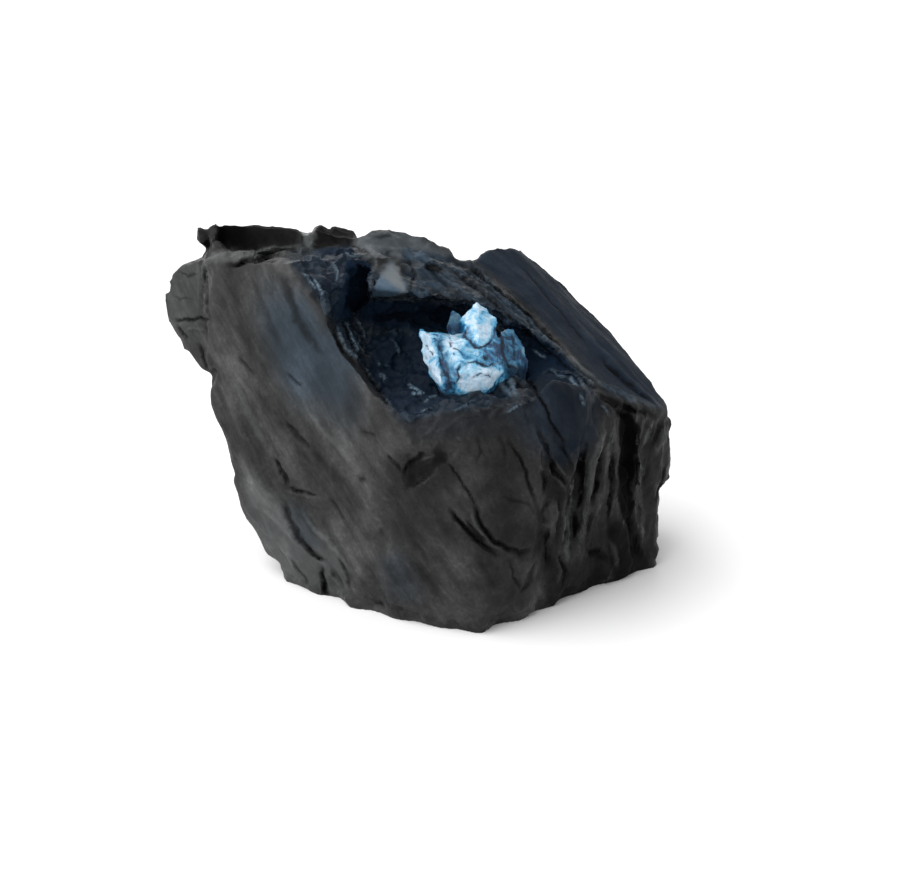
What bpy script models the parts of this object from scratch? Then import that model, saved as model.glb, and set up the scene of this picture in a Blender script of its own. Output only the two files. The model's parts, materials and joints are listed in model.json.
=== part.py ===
"""A lump of bituminous coal with a pale crystal grown in a broken hollow near its top.

The lump is one solid. It is blocked out from convex chunks that meet on the cleats and bedding planes
that coal splits along, then its hollow, trench and crevice are cut, its edges are chipped and its
broken faces are scooped. The crystal is the other solid: crystals grown together, set in a socket.

Corner points are in parts of the lump's width, 144 parts across, so that a part is one millimetre at
full size. +X is to the right, +Y away from the viewer, +Z up, and the lump stands on Z = 0.
"""

import math
import random

import bmesh
import bpy
import numpy as np
from mathutils import Vector, noise
from mathutils.kdtree import KDTree

# Driving dimensions
LUMP_WIDTH = 0.144
PARTS_ACROSS = 144
PART = LUMP_WIDTH / PARTS_ACROSS

# How finely the lump is worked, in parts
VOXEL = 1.0
FINE_VOXEL = 0.8
LUMP_TRIANGLES = 8200
SOCKET_GAP = 0.35
FOOT_HEIGHT = 0.9
FOOT_FADE = (0.0, 3.0)

# Where the lump is looked at from when a stroke is drawn on it: straight in front, and a little above
VIEW_CENTRE = (3.4, 0.0, 40.8)
VIEW_DISTANCE = 595.0
VIEW_ELEVATION = 20.5

# The chunks that are joined. Each is the convex hull of its corners.
LEFT_FACE = [
    (-64, 8, 88.5), (-52, -2, 93), (-41, -10.5, 95), (-31, -18.7, 88.5), (-18.6, -29.5, 70),
    (-8.6, -38, 58), (-7.8, -38.8, 50), (-18.9, -30, 5), (-17, -29, 0), (-37.8, -15.6, 2.5),
    (-36, -14, 0), (-44, -9, 3), (-42, -7, 0), (-49.5, -1, 5), (-55.5, 1, 14), (-57.8, 2.5, 27),
    (-59.9, 4, 43), (-66, 9, 58),
]
FRONT_FACE = [
    (1, -36.5, 64), (16.5, -34, 65), (28.4, -34.5, 52), (29.5, -35.5, 37), (29.5, -32, 16), (12, -44, 30),
    (27, -27.5, 4), (26, -26, 0), (22, -34, 2.5), (20, -32.5, 0), (12, -45.5, 4), (10.5, -42.5, 0),
    (3, -41.5, 3), (1, -38, 0), (-9, -34.5, 3.5), (-9, -32.5, 0),
]
RIGHT_FACE = [
    (31, -28, 66.5), (43.5, -21, 58), (54, -11, 51), (64, 1, 48.4), (66.6, 5, 43), (66.4, 5, 33),
    (65.8, 6, 18), (63.5, 3, 4), (61, 3, 0),
]
TOP_RIDGE = [
    (-37, 12, 92), (-23, 15, 92), (-5.3, 20, 93), (2.3, 20, 90.4), (9.3, 19, 86.3), (16.3, 17, 82.8),
    (23, 13, 76.7), (30, 9, 71.5), (35, 3, 66.7), (40, -5, 61.6),
]
BACK = [
    (-62, 14, 91), (-60, 36, 74), (-24, 43, 76), (14, 41, 70), (-58, 36, 44), (-30, 50, 40), (18, 52, 36),
    (50, 40, 30), (64, 24, 36), (57, 30, 0), (24, 45, 0), (-24, 44, 0), (-46, 26, 0),
]
SLAB = [
    (9, 21, 87), (16.4, 19, 82.4), (30, 9.5, 71.8), (40.2, -4.6, 61.6), (46.5, -8.8, 56.8),
    (59, -6, 49.4), (12.5, 26, 88.4), (19.5, 34, 87.8), (24, 39, 85.2), (36.5, 36, 74.8),
    (48.5, 31, 64.2), (59.5, 20, 53.8), (65.2, 9, 49.1), (65.8, 4.5, 47.4), (12, 24, 60), (20, 46, 62),
    (50, 36, 38), (62, 14, 36), (40, 0, 40),
]
LEFT_BOSS = [
    (-64.5, 12, 89), (-67.5, 18, 88.3), (-74.5, 22, 84.3), (-78, 24, 79.5), (-79.3, 24.5, 73.4),
    (-79, 24, 68.5), (-76, 22, 64.5), (-71.5, 18, 60), (-66.5, 12, 56), (-57, 38, 82), (-62, 38, 60),
    (-52, 20, 90), (-58, 16, 50),
]
LEFT_POST = [
    (-68.5, 18, 98), (-62.6, 15, 98), (-60, 14, 97.8), (-65, 10.5, 90), (-57, 6, 90), (-68.5, 20, 90),
    (-55, 24, 90), (-60, 26, 94),
]
TRENCH_WALL = [
    (-62.5, 15.5, 99.4), (-51.6, 7.5, 101), (-41, 6, 100.2), (-37, 6, 98.6), (-35.5, 14, 95.5),
    (-58, 27, 94.5), (-40, 25, 95), (-59, 14, 86), (-50, 6.5, 88), (-36.5, 4, 88), (-58, 32, 84),
    (-34, 32, 84),
]
SECOND_BLOCK = [
    (-35, 10, 98), (-33, 10.5, 99.3), (-28.4, 12, 97.8), (-23.2, 14, 95.4), (-34.5, 7, 90), (-23.8, 10, 88),
    (-35, 22, 95.5), (-24, 24, 93.5), (-34, 30, 84), (-20, 30, 84),
]
HUMP = [
    (-23, 13, 94.5), (-18.6, 17, 97), (-13.4, 19, 96.6), (-8.3, 19.5, 96.3), (-4.4, 20, 95.2),
    (-0.5, 20, 93.4), (2.8, 20, 91.8), (6.2, 20, 90), (-13.6, 5.5, 89.7), (-8, 0.3, 81.2),
    (-17.3, 0.3, 81.2), (-22, 8, 80), (4, 12, 82), (-18, 32, 84), (0, 34, 82),
]
CHUNKS = {
    "body": LEFT_FACE + FRONT_FACE + RIGHT_FACE + TOP_RIDGE + BACK,
    "slab": SLAB,
    "left_boss": LEFT_BOSS,
    "left_post": LEFT_POST,
    "trench_wall": TRENCH_WALL,
    "second_block": SECOND_BLOCK,
    "hump": HUMP,
}

# What is cut away after that. Each is the convex hull of its corners too.
CUTS = {
    "hollow_left": [
        (-30.4, -34, 97.3), (-30, -29, 81.5), (-21.5, -35, 71.5), (-14, -38, 64.5), (-6, -40, 60.5),
        (-2, -30, 60.5), (2, -20, 61), (-22, 0, 73), (-15.5, -15, 63.5), (-8, -4, 66), (-23.4, -36, 95),
        (-16.5, -38, 93.2), (0.9, -38, 92.4), (-25, -6, 84.7), (-18, 2, 80.7), (0.6, 4, 79.5),
        (8.9, 6, 77.1),
    ],
    "hollow_right": [
        (-6, -38, 60.5), (8, -37, 61.5), (18, -35, 62), (26, -29, 62.5), (33, -21, 62.5),
        (37.5, -10, 62.5), (2, -22, 60.5), (14, -22, 60.5), (24, -12, 62), (28, 0, 66), (-6, 4, 78),
        (0.8, -36, 91.8), (11.1, -36, 90.7), (21.4, -34, 84.5), (31.1, -30, 76.1), (0.6, 4, 79.5),
        (11.7, 6, 77.4), (23.2, 2, 72.6), (33.5, -5, 67.3), (39.2, -12, 61.6),
    ],
    "under_hump": [
        (-18, -2, 78), (-8, -2, 78.5), (2, 0, 79), (8, 7, 77), (-18, 9, 73), (4, 12, 73), (-18, -8, 70),
        (4, -8, 70), (-12, -12, 77),
    ],
    "saddle": [
        (4, 24, 92), (9.5, 19.8, 86.2), (15.5, 30, 87), (2, 36, 86), (4, 22, 100), (14, 26, 100),
    ],
    "crevice": [
        (47, -24, 55), (54.5, -18, 55), (50, -6, 54), (52.5, -6, 54), (49, -24, 34), (56, -16, 34),
        (52, -4, 34), (54.5, -4, 34), (54, -18, 10), (58, -14, 10), (56.5, -5, 12),
    ],
    "edge_pit": [
        (-12, -42, 55), (-8.5, -38.2, 53.5), (-2, -42, 54), (3, -43, 50), (-5.5, -36, 49), (-10.5, -42, 39),
        (-6, -38.3, 41), (-9.6, -36.4, 41.5), (-2, -44, 42),
    ],
}

# The cuts that keep crisp walls, made last of all
CRISP_CUTS = {
    "trench": [
        (-61.8, 13, 90.8), (-51.3, 4.5, 93.6), (-38, 3, 94), (-61, 17.5, 86.3), (-50.5, 9, 89),
        (-37.5, 7.5, 89.5), (-60.5, 19.5, 98), (-51.6, 11.5, 101), (-37.5, 10, 99.5), (-61.8, 12, 104),
        (-51.3, 3.5, 107), (-38, 2, 107),
    ],
    "deep_hole": [
        (-23.2, -24, 98.9), (-17.4, -22, 97.1), (-17.8, -26, 88.8), (-21.4, -30, 85.2),
        (-24.6, -28, 87.8), (-25.4, -24, 93.6), (-22.2, 3, 89.8), (-18.3, 6, 87.6), (-19.2, 9, 78.4),
        (-22.6, 6, 75), (-25.8, 3, 78.4),
    ],
}

# The crystals that grew together, each with flat faces. Each is the convex hull of its corners.
CRYSTALS = {
    "heart": [
        (-4, -13, 75.5), (-3.5, -17, 72), (-2.5, -19.5, 69.5), (-1, -22, 67), (1, -24, 64),
        (2.5, -24.5, 62.5), (5.5, -26, 63), (10, -26, 63), (13, -25.5, 64), (18, -20.5, 67),
        (17, -14, 71), (16, -10, 74.5), (6, -12, 75), (0, -19.5, 73.5), (5, -22, 74.5), (6.5, -28, 69.5),
        (5, -28, 67.5), (13, -27, 69), (13.5, -26.5, 66.5), (11, -21, 73), (-1, -10, 62), (3, -20, 57.5),
        (12, -21, 57.5), (17, -12, 60), (14, -3, 66), (2, -4, 66),
    ],
    "wing": [
        (-4.5, -12, 76), (-0.5, -19.5, 76), (-2, -20.5, 72.5), (1, -24.5, 69), (1, -26, 65),
        (-4, -18.5, 70), (0, -18, 62), (-2, -14, 66), (3, -22, 60),
    ],
    "point": [
        (10.5, -6.5, 82), (6.5, -8, 77.5), (7.5, -7, 79.5), (9, -12.5, 77), (13, -12.5, 77), (16, -8, 77.5),
        (13.5, -5, 80), (11, -1, 76.5), (7.5, -14, 75.5), (11, -19.5, 73.5), (14, -17, 74), (15, -8, 73),
        (11, -2, 71), (7.5, -13, 70), (15, -12, 70), (12, -3, 68),
    ],
    "side_point": [
        (4, -6, 79.5), (3, -9, 76.5), (5.5, -10.5, 76), (6.5, -6, 77), (4, -3, 75.5), (3, -8, 69),
        (7, -9, 69), (5, -3, 70),
    ],
    "right_block": [
        (17, -8, 74.5), (20.5, -4, 74), (23, -6, 69.5), (24.5, -10, 66), (21, -15, 65.5), (17.5, -18, 69),
        (16.5, -14, 72.5), (18, -14, 60), (24, -9, 60), (22, -4, 64), (17, -6, 64),
    ],
}


def at(corner):
    """A corner point in metres."""
    return Vector(corner) * PART


def hull(name, corners):
    """An object whose mesh is the convex hull of the corners."""
    shape = bmesh.new()
    for corner in corners:
        shape.verts.new(at(corner))
    bmesh.ops.convex_hull(shape, input=shape.verts)
    bmesh.ops.delete(shape, geom=[v for v in shape.verts if not v.link_faces], context="VERTS")
    bmesh.ops.recalc_face_normals(shape, faces=shape.faces)
    mesh = bpy.data.meshes.new(name)
    shape.to_mesh(mesh)
    shape.free()
    made = bpy.data.objects.new(name, mesh)
    bpy.context.scene.collection.objects.link(made)
    return made


def grown(corners, gap):
    """The corners of a chunk whose faces all stand out by at least the gap, for its socket."""
    shifts = [(i, j, k) for i in (-gap, gap) for j in (-gap, gap) for k in (-gap, gap)]
    return [(x + i, y + j, z + k) for x, y, z in corners for i, j, k in shifts]


def helper(thing):
    """Keeps a cutter or a guide out of the model."""
    thing.hide_render = True
    thing.display_type = "WIRE"
    return thing


def boolean(thing, other, operation):
    """Adds a Boolean with another object, which becomes a helper."""
    step = thing.modifiers.new(f"{operation.lower()}_{other.name}", "BOOLEAN")
    step.operation = operation
    step.object = helper(other)
    step.solver = "EXACT"


def apply_all(thing):
    """Turns an object's modifiers into its mesh."""
    bpy.context.view_layer.update()
    seen = thing.evaluated_get(bpy.context.evaluated_depsgraph_get())
    mesh = bpy.data.meshes.new_from_object(seen)
    thing.modifiers.clear()
    thing.data = mesh


class Surface:
    """A mesh's points and normals as arrays, in parts, so that all its points can be moved at once."""

    def __init__(self, thing):
        self.mesh = thing.data
        self.mesh.calc_loop_triangles()
        count = len(self.mesh.vertices)
        listed = np.empty(count * 3, np.float32)
        self.mesh.vertices.foreach_get("co", listed)
        self.points = listed.reshape(-1, 3).astype(float) / PART
        corners = np.empty(len(self.mesh.loop_triangles) * 3, np.int32)
        self.mesh.loop_triangles.foreach_get("vertices", corners)
        self.triangles = corners.reshape(-1, 3)
        edges = np.empty(len(self.mesh.edges) * 2, np.int32)
        self.mesh.edges.foreach_get("vertices", edges)
        self.edges = edges.reshape(-1, 2)
        self.find_normals()
        flat = smooth_step(np.linalg.norm(self.averaged(self.normals, 5), axis=1), 0.7, 0.95)
        self.free = smooth_step(self.points[:, 2], *FOOT_FADE) * (0.25 + 0.75 * flat)

    def find_normals(self):
        a, b, c = (self.points[self.triangles[:, k]] for k in range(3))
        face = np.cross(b - a, c - a)
        normals = np.zeros_like(self.points)
        for k in range(3):
            for axis in range(3):
                normals[:, axis] += np.bincount(self.triangles[:, k], face[:, axis], len(normals))
        self.normals = normals / np.maximum(np.linalg.norm(normals, axis=1), 1e-9)[:, None]

    def averaged(self, values, rounds):
        """Values at the points, each averaged with its neighbours a number of times."""
        ends = self.edges
        count = np.bincount(ends.ravel(), minlength=len(values)).astype(float)
        values = values.copy()
        for _ in range(rounds):
            for axis in range(values.shape[1]):
                total = np.bincount(ends[:, 0], values[ends[:, 1], axis], len(values))
                total += np.bincount(ends[:, 1], values[ends[:, 0], axis], len(values))
                values[:, axis] = 0.5 * values[:, axis] + 0.5 * total / count
        return values

    def lift(self, height):
        """Moves each point along its normal, less so on sharp edges and not at the foot."""
        self.points += self.normals * (height * self.free)[:, None]
        self.find_normals()

    def soften(self, where, rounds):
        """Rounds off faint edges where it is asked to."""
        self.points += (self.averaged(self.points, rounds) - self.points) * where[:, None]
        self.find_normals()

    def write(self):
        self.mesh.vertices.foreach_set("co", (self.points * PART).astype(np.float32).ravel())
        self.mesh.update()


def smooth_step(value, low, high):
    """0 below low, 1 above high, and a smooth rise between."""
    share = np.clip((value - low) / (high - low), 0, 1)
    return share * share * (3 - 2 * share)


def seeded_points(surface, spacing, seed):
    """Points of the surface, picked at random about a spacing apart."""
    rng = np.random.default_rng(seed)
    left = rng.permutation(len(surface.points))
    tree_points = []
    cells = set()
    for index in left:
        cell = tuple(np.floor(surface.points[index] / spacing).astype(int))
        if cell not in cells:
            cells.add(cell)
            tree_points.append(index)
    return surface.points[tree_points], rng


def scalloped(surface, where, size, depth, seed, along=(0, 0, 1), stretch=1.0):
    """Breaks the surface into shell-shaped hollows of uneven depth that meet in sharp ridges.

    A stretch above 1 draws the hollows out along a direction."""
    direction = np.array(along, float) / np.linalg.norm(along)

    def squeezed(points):
        return points - np.outer(points @ direction, direction) * (1 - 1 / stretch)

    seeds, rng = seeded_points(surface, size, seed)
    seeds = squeezed(seeds)
    lead = rng.uniform(0, 0.35, len(seeds))
    tree = KDTree(len(seeds))
    for index, seed_point in enumerate(seeds):
        tree.insert(seed_point, index)
    tree.balance()
    height = np.empty(len(surface.points))
    for place, point in enumerate(squeezed(surface.points)):
        height[place] = min((off / size) ** 2 - lead[index] for _, index, off in tree.find_n(point, 4))
    surface.lift(depth * np.clip(height - 0.3, -0.6, 0.6) * where)


def rolling(surface, where, size, height, seed):
    """Slow waves over the surface."""
    offset = Vector((seed * 7.3, seed * 3.1, seed * 5.7))
    waves = np.array([noise.noise(Vector(point) / size + offset) for point in surface.points])
    surface.lift(waves * height * where)


def wavy_foot(surface, size, height, top, seed):
    """Makes the outline that stands on the ground uneven, without lifting it."""
    offset = Vector((seed * 5.1, seed * 9.7, 0))
    waves = np.array([noise.noise(Vector((x / size, y / size, 0)) + offset) for x, y, _ in surface.points])
    low = 1 - smooth_step(surface.points[:, 2], top * 0.3, top)
    surface.points[:, :2] += surface.normals[:, :2] * (waves * height * low)[:, None]
    surface.find_normals()


def press_flat(surface, place, normal, reach, depth):
    """Presses what stands above a plane down to it, within a reach of a place."""
    offset = surface.points - place
    near = np.einsum("ij,ij->i", offset, offset) < reach * reach
    above = offset[near] @ normal + depth
    surface.points[near] -= (np.maximum(above, 0) * surface.free[near])[:, None] * normal


def chip_edges(surface, edges, spacing, reach, bite, seed):
    """Knocks flat chips off sharp edges. Each edge is (end, end, outward direction)."""
    rng = random.Random(seed)
    for start, end, outward in edges:
        length = (end - start).length
        for _ in range(int(length / spacing * rng.uniform(0.5, 1.3))):
            place = start.lerp(end, rng.random())
            jitter = Vector([rng.gauss(0, 0.22) for _ in range(3)])
            normal = np.array((outward + jitter).normalized())
            how_far, how_deep = reach * rng.uniform(0.5, 1.4), bite * rng.uniform(0.2, 1.2)
            press_flat(surface, np.array(place), normal, how_far, how_deep)
    surface.find_normals()


def sharp_edges(thing, least_degrees):
    """(end, end, outward direction) of the edges that bend by at least this much outwards, in parts."""
    shape = bmesh.new()
    shape.from_mesh(thing.data)
    least = math.radians(least_degrees)
    found = []
    for edge in shape.edges:
        if len(edge.link_faces) == 2 and edge.is_convex and edge.calc_face_angle() > least:
            outward = (edge.link_faces[0].normal + edge.link_faces[1].normal).normalized()
            found.append((edge.verts[0].co / PART, edge.verts[1].co / PART, outward))
    shape.free()
    return found


def seen_from_front(surface):
    """Each point's place (across, up) on the drawing plane, and how much it faces the eye."""
    elevation = math.radians(VIEW_ELEVATION)
    forwards = np.array((0, math.cos(elevation), -math.sin(elevation)))
    up = np.array((0, math.sin(elevation), math.cos(elevation)))
    away = surface.points - (np.array(VIEW_CENTRE) - forwards * VIEW_DISTANCE)
    scale = VIEW_DISTANCE / (away @ forwards)
    place = np.stack([away[:, 0] * scale, (away @ up) * scale], axis=1)
    facing = -(surface.averaged(surface.normals, 2) * away).sum(axis=1) / np.linalg.norm(away, axis=1)
    return place, facing


def off_path(place, path):
    """Each place's distance to a drawn path, and how far along the path it is, from 0 to 1."""
    path = np.array(path, float)
    lengths = np.linalg.norm(np.diff(path, axis=0), axis=1)
    before = np.concatenate([[0], np.cumsum(lengths)])
    best = np.full(len(place), np.inf)
    share = np.zeros(len(place))
    for index, length in enumerate(lengths):
        start, step = path[index], path[index + 1] - path[index]
        t = np.clip((place - start) @ step / length ** 2, 0, 1)
        distance = np.linalg.norm(place - start - t[:, None] * step, axis=1)
        closer = distance < best
        best[closer] = distance[closer]
        share[closer] = (before[index] + t[closer] * length) / before[-1]
    return best, share


def stroke(surface, path, width, depth):
    """Draws a groove, or a ridge where the depth is negative, on the surface as seen from the front.

    The path is a list of (across, up) places on the drawing plane. It fades out at its two ends."""
    place, facing = seen_from_front(surface)
    distance, share = off_path(place, path)
    ends = np.minimum(1, 5 * np.minimum(share, 1 - share) + 0.15)
    profile = np.clip(1 - distance / (width / 2), 0, 1)
    surface.lift(-depth * profile * ends * (facing > 0.05))


# Strokes on the front, as (across, up) places: a path, a width and a depth
FRONT_STROKES = [
    ([(2, -21), (6, -26), (11, -31), (17, -34.5), (24, -33.5)], 4.0, 1.6),
    ([(20, 18), (24.5, 12), (28, 4), (32, -4)], 2.2, 1.2),
    ([(-49, 2), (-43, -8), (-37, -14), (-33, -18)], 3.2, 1.2),
    ([(-44, -14), (-41, -19), (-34, -22)], 3.0, 1.3),
    ([(-45, -25), (-38, -33), (-33, -38), (-32, -44)], 3.6, 1.6),
    ([(-52, -22), (-45, -32), (-38, -42)], 4.0, -1.4),
    ([(-64, 20), (-60, 8), (-55, -6), (-51, -20)], 5.0, -1.2),
    ([(-74, 31), (-68, 32), (-65, 30)], 2.6, 1.4),
    ([(42, 4), (39, -8), (37, -20), (36, -34)], 4.2, -2.2),
    ([(35, -2), (32, -14), (30, -26), (29, -38)], 3.6, -1.8),
    ([(60, 2), (56, -10), (57, -24), (55, -34)], 3.8, -1.6),
    ([(38, 0), (36, -12), (33.5, -24), (33, -36)], 2.6, 2.2),
]

# Outlines, as (across, up) places, of the faces on the front that split cleanly
CLEAN_PATCHES = [
    [(-65.8, 48.9), (-46.5, 47.2), (-33.6, 34), (-23.5, 18.1), (-14, 2.9), (-13.4, -3.5), (-15.4, -13),
     (-23, -29), (-24.6, -43), (-44.8, -34.6), (-56, -17.8), (-58.8, -1), (-65.8, 18.6), (-64.4, 32.6)],
    [(-19.6, -34.6), (-10.6, -17.8), (-8.4, -12.2), (8.4, 4.6), (19.6, 10.2), (25.2, -1), (27.4, -17.8),
     (26.6, -34.6), (22.4, -45.8), (11.2, -51.4), (-5.6, -49.1), (-18.2, -47.2)],
    [(22.4, 18), (39.2, 14.4), (37.8, -1), (30.8, -3.8), (23.8, 10.2)],
    [(-7, 55), (16.8, 50.5), (36.4, 35.4), (53.2, 15.8), (58.8, 8), (44.8, 13.6), (30.8, 27.6), (19.6, 38.2),
     (5.6, 48.9)],
    [(-64, 60), (-41, 59), (-41, 50.5), (-64, 50.5)],
    [(-79, 49), (-70, 49), (-66.6, 32), (-69.4, 20), (-79, 32)],
]
CALM_PATCHES = [
    [(4, 49), (17, 60), (26, 60), (70, 18), (67, 4), (57, 5), (45, 12.5), (35, 22.5), (20, 38), (6, 47)],
    [(-84, 46), (-68, 51), (-62.5, 51), (-62.5, 30), (-66, 18), (-84, 18)],
    [(-22.5, 38.5), (-11.5, 39.5), (-13.5, 47), (-16.5, 50), (-20, 45.5)],
    [(56, 9), (70, 12), (70, -14), (59, -14)],
]
CREVICE_PATCH = [(44, 10), (53, 8), (55, -18), (56, -36), (49, -36), (45, -18)]
HOLLOW_PATCH = [
    (-45, 50), (-20, 52), (6, 46), (30, 24), (36, 12), (22, 14), (6, 8), (-12, 4), (-24, 20), (-34, 36),
]


def inside(place, outline):
    """1 for the places inside a drawn outline, 0 for the others."""
    crossings = np.zeros(len(place), int)
    for start, end in zip(outline, outline[1:] + outline[:1]):
        spans = (place[:, 1] < start[1]) != (place[:, 1] < end[1])
        if start[1] != end[1]:
            meets = start[0] + (place[:, 1] - start[1]) * (end[0] - start[0]) / (end[1] - start[1])
            crossings += spans & (place[:, 0] < meets)
    return (crossings % 2).astype(float)


def patch(surface, outlines, blur, least_facing=0.0):
    """1 on the parts of the surface inside the drawn outlines and facing the view, with blurred borders."""
    place, facing = seen_from_front(surface)
    drawn = np.max([inside(place, outline) for outline in outlines], axis=0) * (facing > least_facing)
    return surface.averaged(drawn[:, None], blur)[:, 0]


def sculpt(lump, edges):
    """Works the blocked-out lump: waves, shell-shaped breaks, chipped edges and strokes."""
    surface = Surface(lump)
    clean = patch(surface, CLEAN_PATCHES, 8)
    surface.free *= 1 - 0.85 * patch(surface, CALM_PATCHES, 3, least_facing=-0.4)
    hollow = patch(surface, [HOLLOW_PATCH], 4)
    rough = 1 - clean
    facing = surface.averaged(surface.normals, 8)
    across = surface.points[:, 0]
    right_side = smooth_step(facing[:, 0], 0.45, 0.7) * smooth_step(across, 26, 32) * rough
    right_side *= (1 - smooth_step(across, 57, 63)) * (1 - patch(surface, [CREVICE_PATCH], 3))

    surface.soften(0.8 * clean, 10)
    chip_edges(surface, edges, spacing=13, reach=6, bite=1.0, seed=3)
    rolling(surface, 1 - 0.5 * clean, size=30, height=2.4, seed=1)
    rolling(surface, 1 - 0.7 * clean, size=12, height=1.2, seed=2)
    scalloped(surface, rough * (1 - right_side) * (1 - hollow), size=15, depth=3.4, seed=11,
              along=(0.9, 0.1, -0.45), stretch=1.6)
    scalloped(surface, right_side, size=9, depth=4.0, seed=12, along=(0.25, 0, 1), stretch=3.4)
    scalloped(surface, hollow, size=6.5, depth=1.6, seed=13)
    scalloped(surface, clean, size=14, depth=1.0, seed=14, along=(0.45, -0.4, -0.8), stretch=2.5)
    chip_edges(surface, edges, spacing=9, reach=3.5, bite=0.5, seed=5)
    for path, width, depth in FRONT_STROKES:
        stroke(surface, path, width, depth)

    wavy_foot(surface, size=9, height=3.0, top=10, seed=6)
    low = surface.points[:, 2] < FOOT_HEIGHT
    surface.points[low, 2] = -FOOT_HEIGHT
    surface.write()


def coal_material():
    material = bpy.data.materials.new("coal")
    material.use_nodes = True
    shader = material.node_tree.nodes["Principled BSDF"]
    shader.inputs["Base Color"].default_value = (0.032, 0.032, 0.034, 1)
    shader.inputs["Roughness"].default_value = 0.42
    return material


def crystal_material():
    material = bpy.data.materials.new("pale_quartz")
    material.use_nodes = True
    shader = material.node_tree.nodes["Principled BSDF"]
    shader.inputs["Base Color"].default_value = (0.62, 0.78, 0.9, 1)
    shader.inputs["Roughness"].default_value = 0.12
    shader.inputs["IOR"].default_value = 1.544
    shader.inputs["Transmission Weight"].default_value = 0.5
    return material


def block_out():
    """The lump's chunks joined and its cuts made, still with plain faces."""
    names = list(CHUNKS)
    lump = hull("lump", CHUNKS[names[0]])
    for name in names[1:]:
        boolean(lump, hull(name, CHUNKS[name]), "UNION")
    for name, corners in CUTS.items():
        boolean(lump, hull(name, corners), "DIFFERENCE")
    apply_all(lump)
    return lump


def keep_largest(thing):
    """Drops splinters that a cut has set free."""
    shape = bmesh.new()
    shape.from_mesh(thing.data)
    left = set(shape.verts)
    islands = []
    while left:
        island = {left.pop()}
        edge_of_search = list(island)
        while edge_of_search:
            vert = edge_of_search.pop()
            for edge in vert.link_edges:
                other = edge.other_vert(vert)
                if other in left:
                    left.remove(other)
                    island.add(other)
                    edge_of_search.append(other)
        islands.append(island)
    islands.sort(key=len)
    bmesh.ops.delete(shape, geom=[vert for island in islands[:-1] for vert in island], context="VERTS")
    shape.to_mesh(thing.data)
    shape.free()


def one_skin(thing, voxel):
    """Gives an object an even mesh that nowhere crosses itself."""
    remesh = thing.modifiers.new("one_skin", "REMESH")
    remesh.mode = "VOXEL"
    remesh.voxel_size = voxel * PART
    apply_all(thing)


def make_lump():
    lump = block_out()
    edges = sharp_edges(lump, 24)

    one_skin(lump, VOXEL)
    sculpt(lump, edges)
    one_skin(lump, FINE_VOXEL)

    triangles = sum(len(face.vertices) - 2 for face in lump.data.polygons)
    fewer = lump.modifiers.new("fewer_faces", "DECIMATE")
    fewer.ratio = LUMP_TRIANGLES / triangles
    apply_all(lump)

    ground = hull("ground", [(x, y, z) for x in (-100, 100) for y in (-80, 80) for z in (-20, 0)])
    boolean(lump, ground, "DIFFERENCE")
    for name, corners in CRISP_CUTS.items():
        boolean(lump, hull(name, corners), "DIFFERENCE")
    for name, corners in CRYSTALS.items():
        boolean(lump, hull(f"{name}_socket", grown(corners, SOCKET_GAP)), "DIFFERENCE")
    apply_all(lump)
    keep_largest(lump)
    lump.data.materials.clear()
    lump.data.materials.append(coal_material())


def make_crystal():
    names = list(CRYSTALS)
    crystal = hull("crystal", CRYSTALS[names[0]])
    for name in names[1:]:
        boolean(crystal, hull(name, CRYSTALS[name]), "UNION")
    apply_all(crystal)
    crystal.data.materials.clear()
    crystal.data.materials.append(crystal_material())


for leftover in list(bpy.data.objects):
    bpy.data.objects.remove(leftover)
make_lump()
make_crystal()
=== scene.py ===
"""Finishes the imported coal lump: its broken and cleaved faces, its crystal, and a plain studio round it.

It is laid out as an add-on whose operators make one piece each, and is run as a script.
Lengths are metres unless a name ends in _MM. +X is to the lump's right, +Y to its back, +Z up.
"""

import json
import math

import bpy
import numpy as np
from bpy.props import FloatProperty, FloatVectorProperty, IntProperty, PointerProperty, StringProperty
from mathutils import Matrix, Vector

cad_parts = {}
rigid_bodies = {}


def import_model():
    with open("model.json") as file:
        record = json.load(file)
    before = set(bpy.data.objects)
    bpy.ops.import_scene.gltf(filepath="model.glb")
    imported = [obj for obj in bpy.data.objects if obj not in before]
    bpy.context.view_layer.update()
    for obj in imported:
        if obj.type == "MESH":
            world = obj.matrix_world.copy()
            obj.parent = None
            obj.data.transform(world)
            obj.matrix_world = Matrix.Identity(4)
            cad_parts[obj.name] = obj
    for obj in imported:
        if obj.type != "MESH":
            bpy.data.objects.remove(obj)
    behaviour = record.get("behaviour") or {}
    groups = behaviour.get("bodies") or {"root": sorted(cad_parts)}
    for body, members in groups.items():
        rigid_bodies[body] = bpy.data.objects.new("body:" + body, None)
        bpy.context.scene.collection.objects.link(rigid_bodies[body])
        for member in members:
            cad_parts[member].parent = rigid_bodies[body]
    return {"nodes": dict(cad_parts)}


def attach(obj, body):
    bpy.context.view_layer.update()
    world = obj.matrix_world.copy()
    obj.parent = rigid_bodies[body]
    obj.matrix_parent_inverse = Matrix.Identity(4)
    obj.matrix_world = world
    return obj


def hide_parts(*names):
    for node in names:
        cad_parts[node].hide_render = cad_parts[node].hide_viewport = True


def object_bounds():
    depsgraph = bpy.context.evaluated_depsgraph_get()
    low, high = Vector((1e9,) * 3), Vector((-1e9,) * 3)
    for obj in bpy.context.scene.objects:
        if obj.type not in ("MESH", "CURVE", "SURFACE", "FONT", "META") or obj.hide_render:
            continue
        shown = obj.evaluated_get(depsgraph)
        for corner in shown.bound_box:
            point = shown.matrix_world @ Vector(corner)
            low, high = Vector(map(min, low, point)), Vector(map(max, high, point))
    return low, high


bl_info = {
    "name": "Coal Lump",
    "version": (1, 0, 0),
    "blender": (4, 5, 0),
    "location": "View3D > Sidebar > Coal Lump",
    "description": "A cleaved lump of house coal with a pale crystal in its hollow",
    "category": "Object",
}

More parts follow.
